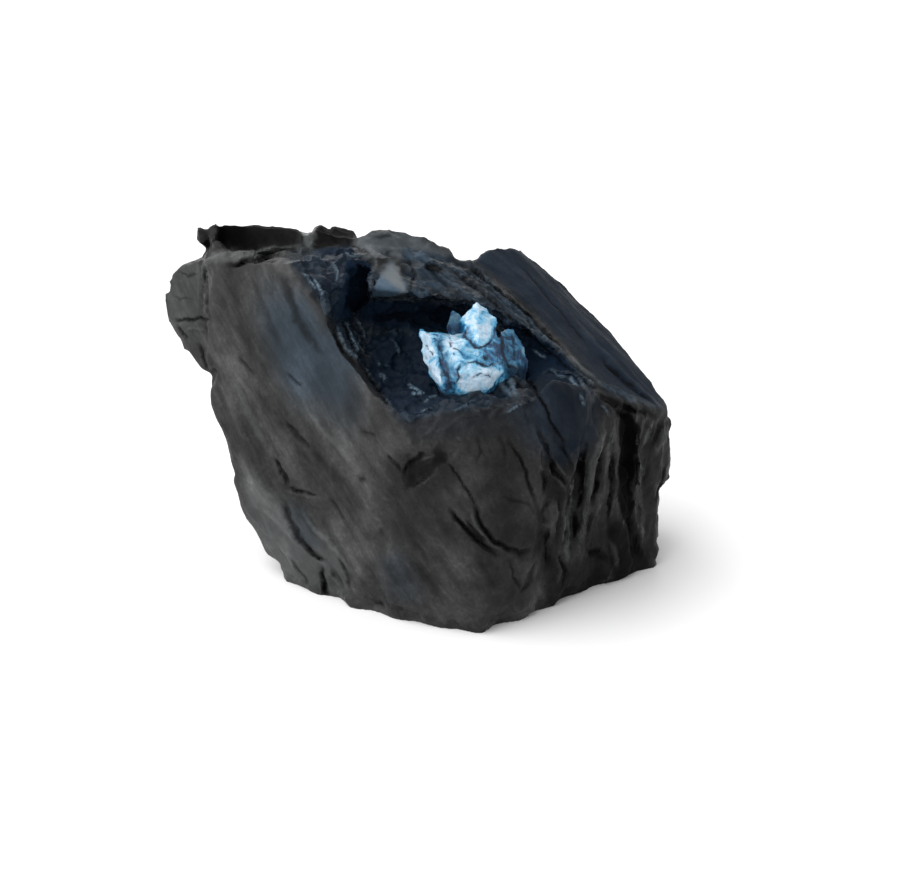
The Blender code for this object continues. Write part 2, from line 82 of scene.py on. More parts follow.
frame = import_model()
CAD_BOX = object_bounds()
MM = 0.001

# The drawing board: a plane through the lump's middle, square to the main view. Strokes and patches
# are drawn on it in board units, across from its left edge and down from its top.
VIEW_ELEVATION = 20.5
VIEW_CENTRE_MM = (3.4, 0.0, 40.8)
VIEW_DISTANCE_MM = 595.0
BOARD_MIDDLE = (450.0, 436.5)
BOARD_UNIT_MM = 0.28
LENS_MM = 85.0
SENSOR_MM = 36.0

# Directions that the coal's fibres and bedding run in
LEFT_FACE_GRAIN = (0.50, -0.42, -0.76)
SLAB_GRAIN = (0.65, -0.55, -0.52)
RIGHT_SIDE_GRAIN = (0.25, 0.0, 0.97)

# Outlines on the drawing board of the faces that split cleanly, and of the zones that each broke in a way of
# their own
CLEAN_FACES = {
    "left_face": [(213, 266), (262, 262), (286, 270), (330, 322), (366, 376), (400, 426), (404, 452),
        (402, 484), (384, 540), (376, 600), (290, 575), (230, 520), (205, 440), (190, 370), (205, 340)],
    "left_boss": [(150, 250), (198, 262), (204, 300), (204, 365), (150, 370)],
    "front_face": [(376, 600), (384, 540), (402, 492), (420, 486), (452, 464), (470, 430), (505, 412),
        (525, 410), (535, 440), (548, 500), (545, 560), (530, 600), (490, 622), (430, 615)],
    "right_facet": [(532, 378), (548, 372), (590, 388), (585, 436), (560, 452), (538, 408)],
    "slab_top": [(472, 266), (490, 235), (530, 235), (700, 395), (690, 420), (655, 417), (612, 400),
        (578, 370), (545, 322), (520, 300)],
    "trench_wall": [(224, 215), (302, 215), (302, 248), (224, 249)],
    "hump_facet": [(371, 297), (407, 294), (399, 269), (390, 259), (379, 275)],
}
ZONES = {
    "band": [(355, 252), (405, 250), (470, 262), (520, 300), (562, 345), (600, 388), (572, 380), (530, 335),
        (480, 305), (408, 297), (400, 266), (390, 256), (360, 262)],
    "hollow": [(300, 262), (350, 248), (374, 258), (374, 298), (440, 300), (480, 303), (520, 325),
        (560, 352), (592, 388), (550, 392), (520, 398), (500, 404), (440, 410), (405, 425), (366, 376),
        (330, 322)],
    "right_side": [(548, 400), (600, 392), (672, 412), (672, 480), (655, 560), (600, 585), (545, 612),
        (548, 500)],
}
# Outlines round the crests that run smooth, where the near and the far side are both calmed, and how much
CRESTS = {
    "slab_crest": ([(464, 272), (486, 235), (530, 235), (700, 395), (690, 412), (660, 404), (600, 346),
        (550, 298), (520, 276), (490, 270)], 0.7),
    "hump_crest": ([(350, 222), (400, 218), (472, 248), (478, 268), (440, 258), (400, 246), (352, 256)],
        0.4),
}

# Outlines that two shades share
SLAB_MIDDLE = [(472, 262), (505, 235), (700, 395), (690, 415), (610, 395), (570, 350), (520, 300)]
LEFT_FACE_MIDDLE = [(262, 290), (300, 290), (335, 335), (365, 385), (345, 420), (290, 400), (262, 340)]

# Shades on the drawing board: an outline, the layer it is painted on, how strongly, and how soft its border
# is, in rounds of averaging. The layers hold painted shade, painted blue light and painted highlights.
SHADES = {
    "trench_back": ([(218, 215), (304, 215), (304, 249), (220, 250)], "painted_shade", 0.88, 3),
    "trench_corner": ([(216, 215), (256, 215), (254, 250), (220, 250)], "painted_shade", 1.0, 8),
    "post": ([(188, 220), (224, 218), (222, 250), (206, 258), (186, 254)], "painted_shade", 0.6, 4),
    "block_front": ([(314, 222), (356, 226), (354, 258), (314, 254)], "painted_shade", 0.85, 4),
    "broken_shoulder": ([(290, 264), (318, 252), (350, 252), (372, 262), (368, 300), (345, 322),
        (318, 300)], "painted_shade", 0.55, 6),
    "deep_hole": ([(345, 258), (372, 262), (368, 300), (352, 320), (336, 318), (343, 285)], "painted_shade", 1.0, 3),
    "under_roof": ([(345, 300), (372, 299), (440, 302), (470, 312), (468, 330), (420, 332), (360, 322)],
        "painted_shade", 0.85, 5),
    "hollow_right": ([(500, 318), (520, 325), (562, 354), (588, 385), (548, 374), (528, 392), (525, 350)],
        "painted_shade", 0.92, 4),
    "hollow_floor": ([(364, 338), (430, 328), (446, 392), (440, 408), (406, 418), (378, 392)],
        "painted_shade", 0.75, 8),
    "slab_foot": ([(590, 330), (700, 395), (690, 412), (612, 394), (575, 352)], "painted_shade", 0.7, 10),
    "front_foot": ([(410, 575), (520, 560), (530, 600), (490, 640), (420, 630)], "painted_shade", 0.2, 14),
    "right_facet_shade": ([(526, 392), (532, 376), (548, 370), (592, 388), (588, 440), (570, 466),
        (550, 462), (530, 420)], "painted_shade", 0.72, 10),
    "right_side_shade": ([(560, 440), (600, 392), (680, 412), (676, 480), (655, 560), (600, 590),
        (545, 612)], "painted_shade", 0.65, 10),
    "crevice_shade": ([(619, 412), (632, 411), (642, 428), (640, 446), (637, 462), (634, 486), (635, 508),
        (632, 524), (628, 531), (622, 518), (617, 500), (617, 478), (619, 452)], "painted_shade", 1.0, 2),
    "crevice_foot_shade": ([(606, 516), (622, 518), (632, 522), (642, 540), (652, 560), (652, 575),
        (612, 582), (606, 560)], "painted_shade", 0.85, 5),
    "right_side_hollows": ([(542, 452), (566, 450), (584, 470), (584, 500), (560, 510), (540, 496)],
        "painted_shade", 0.8, 6),
    "right_side_foot": ([(540, 540), (562, 560), (600, 545), (612, 575), (580, 600), (545, 612)],
        "painted_shade", 0.8, 8),
    "edge_pit": ([(404, 490), (402, 476), (408, 467), (405, 460), (414, 458), (420, 450), (430, 452),
        (438, 447), (447, 452), (450, 461), (440, 466), (432, 476), (420, 480), (414, 487)],
        "painted_shade", 0.85, 4),
    "front_face_shade": ([(384, 540), (402, 490), (420, 440), (500, 402), (540, 400), (550, 500), (545, 560),
        (500, 560), (450, 560)], "painted_shade", 0.4, 14),
    "front_pocket": ([(478, 500), (490, 498), (530, 505), (540, 545), (516, 552), (500, 543), (488, 528)],
        "painted_shade", 0.5, 5),
    "front_shoulder": ([(402, 412), (440, 396), (500, 396), (540, 390), (540, 425), (470, 440), (410, 452)],
        "painted_shade", 0.45, 10),
    "front_shoulder_cool": ([(400, 408), (440, 392), (540, 388), (544, 425), (470, 436), (408, 440)],
        "painted_blue_light", 0.25, 16),
    "boss_pale": ([(150, 255), (198, 262), (203, 300), (202, 345), (160, 350)], "pale", 0.1, 8),
    "left_face_right": ([(345, 400), (378, 390), (404, 430), (404, 485), (360, 480)], "painted_shade", 0.25, 12),
    "boss_foot": ([(168, 322), (212, 322), (212, 372), (180, 350)], "painted_shade", 0.15, 6),
    "slab_cool": (SLAB_MIDDLE, "painted_blue_light", 0.85, 8),
    "slab_dark": (SLAB_MIDDLE, "painted_shade", 0.6, 8),
    "band_cool": ([(400, 245), (475, 262), (590, 380), (560, 372), (480, 303), (405, 298)], "painted_blue_light", 1.0, 8),
    "hollow_cool": ([(285, 255), (350, 245), (405, 296), (480, 303), (560, 350), (600, 390), (536, 380),
        (500, 404), (440, 415), (400, 425), (330, 322)], "painted_blue_light", 0.9, 8),
    "right_facet_cool": ([(500, 400), (532, 372), (600, 384), (596, 445), (560, 466), (510, 430)],
        "painted_blue_light", 0.6, 20),
    "left_face_cool": (LEFT_FACE_MIDDLE, "painted_blue_light", 0.8, 30),
    "left_face_pale": (LEFT_FACE_MIDDLE, "pale", 0.2, 30),
    "hump_cool": ([(356, 230), (400, 225), (460, 255), (400, 262), (380, 300), (356, 258)],
        "painted_blue_light", 0.35, 8),
    "foot_cool": ([(380, 560), (400, 548), (418, 575), (420, 600), (386, 602)], "painted_blue_light", 0.5, 10),
    "pit_cool": ([(282, 505), (300, 500), (322, 545), (304, 545)], "painted_blue_light", 0.4, 5),
    "left_foot_pale": ([(243, 470), (270, 495), (305, 525), (340, 560), (350, 596), (290, 580), (250, 530)],
        "pale", 0.25, 14),
    "facet_pale": ([(371, 297), (407, 294), (399, 269), (390, 259), (379, 275)], "pale", 1.0, 2),
    "notch_pale": ([(300, 230), (315, 230), (312, 250), (296, 250)], "pale", 0.7, 3),
    "hump_pale": ([(356, 236), (400, 228), (452, 255), (420, 262), (396, 256), (356, 258)],
        "pale", 0.35, 6),
    "ledge_pale": ([(206, 255), (240, 250), (300, 248), (300, 253), (262, 256), (215, 262)],
        "pale", 0.25, 3),
}

# Strokes on the drawing board: a path, a width and a depth in millimetres, and how strong the painted shade
# inside it is. One with a depth below 0 stands out as a ridge, and one with a darkness below 0 is paler, with
# a painted highlight along it.
STROKES = {
    "crack_under_ledge": ([(228, 266), (240, 263), (252, 260), (266, 256), (282, 253)], 2.6, 1.8, 1.0),
    "ledge_lip": ([(206, 261), (222, 255), (245, 253), (270, 249), (300, 247)], 1.6, -0.7, -0.5),
    "ledge_end": ([(203, 280), (204, 268), (210, 260)], 1.4, -0.4, -0.4),
    "upper_fold": ([(283, 272), (290, 298), (299, 322), (312, 342), (322, 356)], 3.4, 0.6, 0.6),
    "upper_fold_lip": ([(294, 274), (302, 298), (314, 322), (328, 344), (340, 362)], 2.0, -0.4, -0.35),
    "upper_fold_two": ([(250, 272), (262, 300), (272, 330), (284, 352)], 3.0, 0.4, 0.35),
    "upper_fold_three": ([(232, 290), (240, 320), (252, 352), (268, 380)], 3.4, 0.4, 0.3),
    "short_streak": ([(286, 372), (294, 379), (303, 386)], 1.4, 0.4, 0.7),
    "short_streak_two": ([(238, 356), (246, 366), (252, 376)], 1.4, 0.4, 0.6),
    "middle_streak": ([(300, 400), (318, 424), (338, 446), (352, 466)], 2.2, -0.3, -0.35),
    "middle_streak_two": ([(262, 398), (280, 424), (296, 448), (318, 470)], 2.4, 0.4, 0.3),
    "spine": ([(232, 380), (244, 405), (258, 432), (268, 448)], 2.4, -0.4, -0.3),
    "rim_crack": ([(333, 326), (337, 340), (345, 354), (356, 366)], 1.6, 1.2, 1.0),
    "rim_lip": ([(338, 324), (343, 338), (351, 350), (362, 362)], 1.2, -0.6, 0.0),
    "rim_crack_inner": ([(343, 322), (348, 336), (356, 347), (366, 358)], 1.4, 0.9, 0.9),
    "rim_lip_inner": ([(349, 321), (354, 332), (361, 342), (370, 352)], 1.2, -0.5, 0.0),
    "rim_crack_low": ([(362, 366), (372, 378), (380, 392), (390, 408)], 1.4, 0.9, 0.8),
    "upper_gouge": ([(286, 421), (293, 430), (303, 441), (311, 449)], 2.2, 0.9, 0.8),
    "smear": ([(310, 448), (324, 462), (337, 478), (348, 488)], 3.4, 0.4, 0.5),
    "gash": ([(274, 458), (279, 468), (284, 478), (288, 486)], 1.9, 1.4, 1.0),
    "gash_tail": ([(288, 486), (300, 491), (318, 495)], 1.2, 0.7, 0.8),
    "gash_lip": ([(288, 490), (302, 495), (316, 499)], 1.8, -0.5, 0.0),
    "lower_groove": ([(284, 500), (290, 520), (300, 538), (312, 552), (325, 563)], 2.6, 1.1, 0.8),
    "lower_groove_core": ([(308, 545), (316, 555), (324, 562)], 1.5, 0.8, 1.0),
    "foot_crack": ([(322, 568), (325, 584), (326, 598)], 2.0, 1.4, 1.0),
    "short_gash": ([(388, 455), (395, 463), (402, 471)], 1.4, 0.8, 0.9),
    "flat_gash": ([(362, 430), (369, 433), (377, 436)], 1.6, 0.5, 0.6),
    "small_pit": ([(362, 477), (365, 481)], 2.4, 0.6, 0.7),
    "left_fold": ([(216, 372), (238, 418), (255, 452), (270, 486), (283, 505)], 2.2, -0.45, 0.0),
    "lower_fold": ([(250, 500), (270, 514), (286, 531), (304, 548), (326, 566), (346, 592)],
        2.0, -0.7, -0.9),
    "lower_fold_two": ([(262, 528), (276, 542), (290, 560), (306, 580)], 1.6, -0.5, -0.7),
    "lower_fold_three": ([(300, 512), (318, 532), (336, 552), (352, 574)], 1.8, -0.5, -0.6),
    "lower_fold_four": ([(246, 478), (262, 492), (276, 500)], 1.6, -0.4, -0.7),
    "foot_crack_two": ([(338, 560), (346, 574), (352, 590)], 1.6, 0.7, 0.7),
    "foot_crack_three": ([(290, 560), (300, 570), (308, 584)], 1.2, 0.5, 0.6),
    "low_scratch": ([(330, 500), (340, 512), (346, 522)], 1.2, 0.4, 0.5),
    "rim_fold": ([(374, 384), (385, 405), (400, 426)], 1.6, -0.4, 0.0),
    "front_crack_long": ([(446, 458), (457, 475), (468, 492), (475, 507)], 1.2, 0.7, 0.7),
    "front_crack_curl": ([(474, 502), (478, 516), (484, 529), (494, 541), (506, 549), (520, 553),
        (534, 550)], 2.4, 1.5, 1.0),
    "front_crack_low": ([(450, 507), (455, 518), (464, 528), (474, 537), (486, 547), (498, 554)],
        2.2, 1.5, 1.0),
    "front_crack_inner": ([(466, 520), (474, 532), (486, 543)], 1.5, 0.7, 0.8),
    "front_lens_lip": ([(470, 512), (478, 528), (490, 541), (504, 552)], 1.2, -0.5, -0.5),
    "front_right_crack": ([(508, 440), (518, 455), (526, 470), (531, 488), (535, 505)], 1.6, 0.8, 0.9),
    "front_right_fold": ([(535, 502), (540, 520), (540, 542), (534, 560)], 2.4, 0.9, 0.7),
    "front_low_crack": ([(536, 562), (530, 580), (522, 596)], 1.8, 0.9, 0.8),
    "front_low_crack_two": ([(508, 560), (514, 575), (520, 590)], 1.5, 0.6, 0.6),
    "front_streak": ([(440, 432), (452, 422), (466, 412)], 1.6, -0.3, -0.25),
    "front_flecks": ([(424, 436), (434, 428), (440, 418)], 1.3, -0.35, -0.35),
    "front_flecks_two": ([(486, 418), (494, 410), (502, 406)], 1.2, -0.35, -0.3),
    "front_dent": ([(498, 436), (504, 446), (506, 458)], 2.0, 0.5, 0.5),
    "front_dent_two": ([(478, 560), (488, 572), (494, 588)], 2.4, 0.4, 0.35),
    "front_dent_three": ([(414, 540), (424, 552), (430, 566)], 2.2, 0.4, 0.35),
    "right_notch": ([(540, 470), (546, 480), (543, 492)], 2.0, 0.9, 0.9),
    "right_notch_two": ([(548, 500), (542, 512), (546, 524)], 2.0, 0.9, 0.8),
    "right_notch_three": ([(560, 446), (568, 456), (574, 468)], 1.4, 0.8, 0.9),
    "front_streak_three": ([(478, 438), (480, 450), (476, 462)], 1.2, 0.4, 0.5),
    "pocket_edge": ([(500, 498), (516, 500), (530, 506), (538, 518)], 1.4, 0.4, 0.5),
    "facet_crack": ([(498, 366), (515, 372), (531, 383), (540, 399), (548, 413), (557, 432), (568, 456)],
        1.2, 0.7, 1.0),
    "right_crack": ([(536, 425), (545, 445), (552, 462), (556, 480)], 1.8, 0.9, 0.8),
    "foot_fold": ([(400, 552), (420, 570), (436, 590), (448, 604)], 3.2, 0.5, 0.35),
    "ridge_upper": ([(604, 432), (597, 450), (592, 468), (589, 486), (586, 505)], 2.4, -0.9, -0.6),
    "ridge_upper_two": ([(612, 430), (609, 446), (606, 460)], 1.3, -0.8, -0.8),
    "ridge_thin": ([(573, 478), (572, 492), (571, 506)], 1.0, -0.9, -1.0),
    "ridge_olive": ([(570, 504), (567, 522), (566, 545), (567, 562)], 2.0, -1.1, -0.8),
    "ridge_middle": ([(586, 504), (584, 520), (581, 536), (577, 554)], 1.8, -0.9, -0.5),
    "ridge_beside_crevice": ([(604, 486), (600, 500), (596, 516)], 1.3, -0.7, -0.4),
    "ridge_low": ([(556, 562), (560, 572), (556, 584)], 1.5, -0.7, -0.3),
    "ridge_foot": ([(611, 540), (614, 554), (618, 568)], 1.8, -0.8, -0.4),
    "seam_upper": ([(603, 448), (599, 466), (596, 484), (592, 506)], 1.5, 1.1, 1.0),
    "seam_beside_crevice": ([(613, 446), (612, 470), (611, 496), (607, 524)], 1.8, 1.1, 0.9),
    "seam_middle": ([(580, 462), (581, 480), (580, 496), (577, 512)], 1.9, 1.3, 1.0),
    "slot": ([(574, 512), (576, 524), (573, 540)], 1.6, 1.3, 1.0),
    "slot_two": ([(592, 512), (590, 530), (586, 546)], 1.5, 0.9, 0.8),
    "slot_left": ([(560, 498), (560, 520), (556, 544)], 1.7, 0.9, 0.8),
    "slant": ([(548, 462), (558, 476), (568, 488)], 1.5, 0.9, 0.9),
    "slant_lip": ([(549, 455), (559, 468), (570, 480)], 1.0, -0.5, -0.5),
    "slant_lip_two": ([(550, 470), (558, 482), (566, 490)], 0.9, -0.4, -0.4),
    "low_pits": ([(544, 530), (548, 548), (546, 566)], 2.0, 0.9, 0.8),
    "low_pits_two": ([(556, 556), (566, 572), (562, 590)], 1.8, 0.9, 0.9),
    "right_groove": ([(663, 419), (658, 431), (651, 446)], 1.9, 1.2, 1.0),
    "right_ridge": ([(652, 422), (647, 434), (643, 446)], 1.8, -0.9, -0.8),
    "right_ridge_two": ([(667, 428), (662, 440), (657, 453)], 1.7, -0.8, -0.7),
    "right_ridge_three": ([(640, 456), (641, 468), (639, 482)], 1.4, -0.7, -0.6),
    "right_streak": ([(641, 490), (642, 515), (641, 542)], 1.3, -0.7, -0.5),
    "right_crease": ([(652, 452), (648, 468), (644, 484)], 1.2, 0.6, 0.6),
    "right_edge_crack": ([(667, 464), (661, 482), (655, 500)], 1.6, 0.8, 0.9),
    "hole_by_foot": ([(588, 550), (598, 553), (606, 562)], 3.2, 1.1, 1.0),
    "pit_edge": ([(402, 480), (406, 468), (415, 459), (426, 451)], 1.8, 0.9, 0.5),
    "pit_edge_low": ([(408, 487), (420, 481), (432, 473)], 1.4, 0.7, 0.4),
    "pit_flake": ([(420, 462), (428, 458), (436, 456)], 1.2, -0.5, -0.35),
    "hump_facet_left": ([(379, 274), (374, 286), (370, 298)], 1.0, 0.5, 0.6),
    "hump_facet_low": ([(371, 298), (390, 297), (408, 295)], 1.2, 0.5, 0.8),
    "hump_pit": ([(424, 265), (433, 268), (443, 272)], 3.6, 0.9, 0.9),
    "hump_line": ([(402, 258), (411, 264), (415, 275), (411, 287)], 1.3, 0.5, 0.8),
    "hump_line_two": ([(448, 257), (462, 266), (478, 276), (492, 285)], 1.2, 0.5, 0.8),
    "hump_bloom": ([(446, 266), (456, 270), (467, 276)], 2.6, -0.4, -0.6),
    "hump_bloom_low": ([(415, 281), (428, 284), (443, 289)], 2.6, -0.3, -0.5),
    "crest_mark": ([(371, 235), (381, 238), (393, 236)], 1.7, 0.3, 0.6),
    "crest_mark_two": ([(351, 245), (361, 250), (373, 254)], 1.8, 0.4, 0.8),
    "crevice_foot": ([(630, 515), (634, 540), (638, 562)], 4.0, 1.6, 1.0),
    "crevice_mouth": ([(612, 402), (620, 412), (630, 420)], 2.6, 1.2, 1.0),
    "slab_groove": ([(600, 358), (618, 376), (636, 391), (655, 403)], 1.5, 0.8, 1.0),
    "slab_crack": ([(519, 264), (536, 284), (552, 302), (572, 326), (590, 350)], 0.9, 0.3, 0.6),
    "slab_lip": ([(562, 347), (580, 366), (600, 383), (628, 397), (655, 407)], 1.6, -0.7, -0.9),
    "slab_fold": ([(575, 320), (596, 345), (620, 370), (645, 392)], 1.4, -0.3, -0.25),
    "under_slab": ([(592, 389), (604, 397), (622, 405), (642, 412), (660, 418)], 2.4, 1.2, 1.0),
    "band_line": ([(440, 262), (480, 290), (520, 325), (560, 362), (590, 386)], 1.2, 0.6, 0.8),
    "band_line_two": ([(462, 262), (500, 290), (535, 322), (570, 356)], 1.4, 0.7, 0.9),
    "band_ridge": ([(450, 258), (492, 288), (528, 320), (566, 357)], 1.0, -0.6, -0.7),
    "band_ridge_two": ([(424, 262), (462, 290), (500, 318), (530, 342)], 1.0, -0.5, -0.6),
    "band_ridge_three": ([(480, 272), (512, 298), (545, 332), (580, 370)], 1.0, -0.5, -0.5),
    "facet_edge": ([(536, 376), (552, 370), (572, 374), (590, 388)], 1.2, -0.5, -0.6),
    "facet_corner": ([(572, 372), (580, 380), (588, 392), (586, 400)], 1.4, -0.5, -0.9),
    "boss_crack": ([(173, 320), (186, 321), (200, 318), (212, 320)], 1.5, 0.9, 0.9),
    "boss_nick": ([(178, 326), (184, 334), (189, 340)], 1.4, 0.7, 0.8),
    "boss_seam": ([(205, 266), (206, 285), (208, 305), (211, 322)], 1.8, 0.5, 0.6),
    "boss_lip": ([(199, 268), (200, 290), (198, 312)], 1.4, -0.4, -0.4),
    "boss_line": ([(178, 272), (188, 276), (199, 274)], 1.0, 0.4, 0.6),
    "boss_line_two": ([(174, 296), (182, 300), (192, 298)], 0.9, 0.3, 0.5),
    "boss_low_lip": ([(186, 330), (196, 328), (206, 330)], 1.0, -0.4, -0.5),
    "post_crack": ([(204, 230), (208, 240), (206, 250)], 1.4, 0.7, 0.8),
    "boss_edge": ([(200, 345), (204, 358), (208, 372)], 1.6, 0.7, 1.0),
}

# Chips in the hollow, raised a little and given a painted glint: a path on the drawing board, a width in
# millimetres, and how bright the glint is
GLINTING_CHIPS = {
    "ripple": ([(338, 326), (341, 338), (348, 350), (358, 360)], 0.8, 0.5),
    "ripple_two": ([(346, 322), (350, 334), (356, 344), (364, 354)], 1.0, 0.5),
    "ripple_three": ([(356, 320), (362, 330), (366, 340)], 0.8, 0.24),
    "floor_chip": ([(408, 384), (413, 388), (419, 390)], 1.0, 0.7),
    "floor_chip_two": ([(412, 393), (418, 394), (424, 392)], 1.0, 0.63),
    "floor_chip_three": ([(425, 402), (431, 398), (438, 396)], 0.8, 0.35),
    "floor_chip_four": ([(421, 412), (428, 409), (434, 406)], 0.8, 0.35),
    "floor_chip_five": ([(380, 374), (385, 377), (383, 382)], 1.0, 0.35),
    "floor_chip_six": ([(377, 361), (384, 366), (390, 366)], 0.8, 0.24),
    "floor_chip_seven": ([(392, 340), (398, 348), (400, 356)], 1.0, 0.17),
    "right_chip": ([(536, 350), (541, 355), (546, 358)], 0.8, 0.56),
    "right_chip_two": ([(550, 370), (558, 375), (566, 378)], 1.0, 0.3),
    "right_chip_three": ([(568, 379), (573, 382), (578, 386)], 1.2, 0.4),
    "right_chip_four": ([(580, 394), (583, 399), (585, 405)], 1.1, 0.35),
    "right_chip_five": ([(601, 406), (605, 410), (609, 416)], 0.9, 0.25),
    "under_wing": ([(498, 380), (504, 388), (511, 394)], 2.0, 0.35),
    "under_wing_two": ([(508, 376), (512, 385), (518, 396)], 1.7, 0.28),
    "under_wing_three": ([(508, 412), (513, 409), (518, 405)], 1.0, 0.3),
    "long_chip": ([(452, 412), (464, 406), (476, 400)], 0.8, 0.17),
    "shoulder_chip": ([(303, 272), (310, 280), (316, 288)], 0.8, 0.35),
    "shoulder_chip_two": ([(314, 278), (320, 286), (324, 295)], 0.9, 0.49),
    "shoulder_chip_three": ([(332, 262), (338, 270), (336, 282)], 1.0, 0.24),
    "shoulder_chip_four": ([(346, 252), (354, 256), (362, 254)], 0.9, 0.28),
}


def linear(hex_code):
    """An sRGB hex colour as linear RGBA."""
    channels = [int(hex_code[k:k + 2], 16) / 255 for k in (1, 3, 5)]
    return (*[c / 12.92 if c <= 0.04045 else ((c + 0.055) / 1.055) ** 2.4 for c in channels], 1.0)


def on_board(u, v):
    """A drawing-board place in millimetres from its middle: across and up."""
    return ((u - BOARD_MIDDLE[0]) * BOARD_UNIT_MM, (BOARD_MIDDLE[1] - v) * BOARD_UNIT_MM)


def smooth_step(value, low, high):
    """0 below low, 1 above high, and a smooth rise between."""
    share = np.clip((value - low) / (high - low), 0, 1)
    return share * share * (3 - 2 * share)


def dice(cells, seed, count):
    """Numbers from 0 to 1 for each whole-numbered cell, the same on every run."""
    mixed = cells[:, 0] * 73856093 ^ cells[:, 1] * 19349663 ^ cells[:, 2] * 83492791 ^ seed * 40503
    mixed &= 0xFFFFFFFF
    rolled = []
    for _ in range(count):
        mixed = (mixed ^ (mixed >> 15)) * 2246822519 & 0xFFFFFFFF
        mixed = (mixed ^ (mixed >> 13)) * 3266489917 & 0xFFFFFFFF
        rolled.append((mixed >> 8 & 0xFFFF) / 65535)
    return rolled


def smooth_noise(points, size, seed):
    """Numbers from -1 to 1 at points, which change smoothly over about a size."""
    places = points / size
    cells = np.floor(places).astype(np.int64)
    share = places - cells
    share = share * share * (3 - 2 * share)
    total = np.zeros(len(points))
    for corner in [(i, j, k) for i in (0, 1) for j in (0, 1) for k in (0, 1)]:
        weight = np.where(corner, share, 1 - share).prod(axis=1)
        total += weight * dice(cells + corner, seed, 1)[0]
    return total * 2 - 1


# How far a place on the drawing board wanders and over what size, in millimetres, with a seed
WANDER_MM = ((0.5, 3.0, 51), (0.25, 1.1, 53))

# How much a point has to face the main view to be drawn on: 1 is square to it, 0 edge on, below 0 past that
FACING = 0.05
ROUND_THE_EDGE = -0.3
BOTH_SIDES = -1


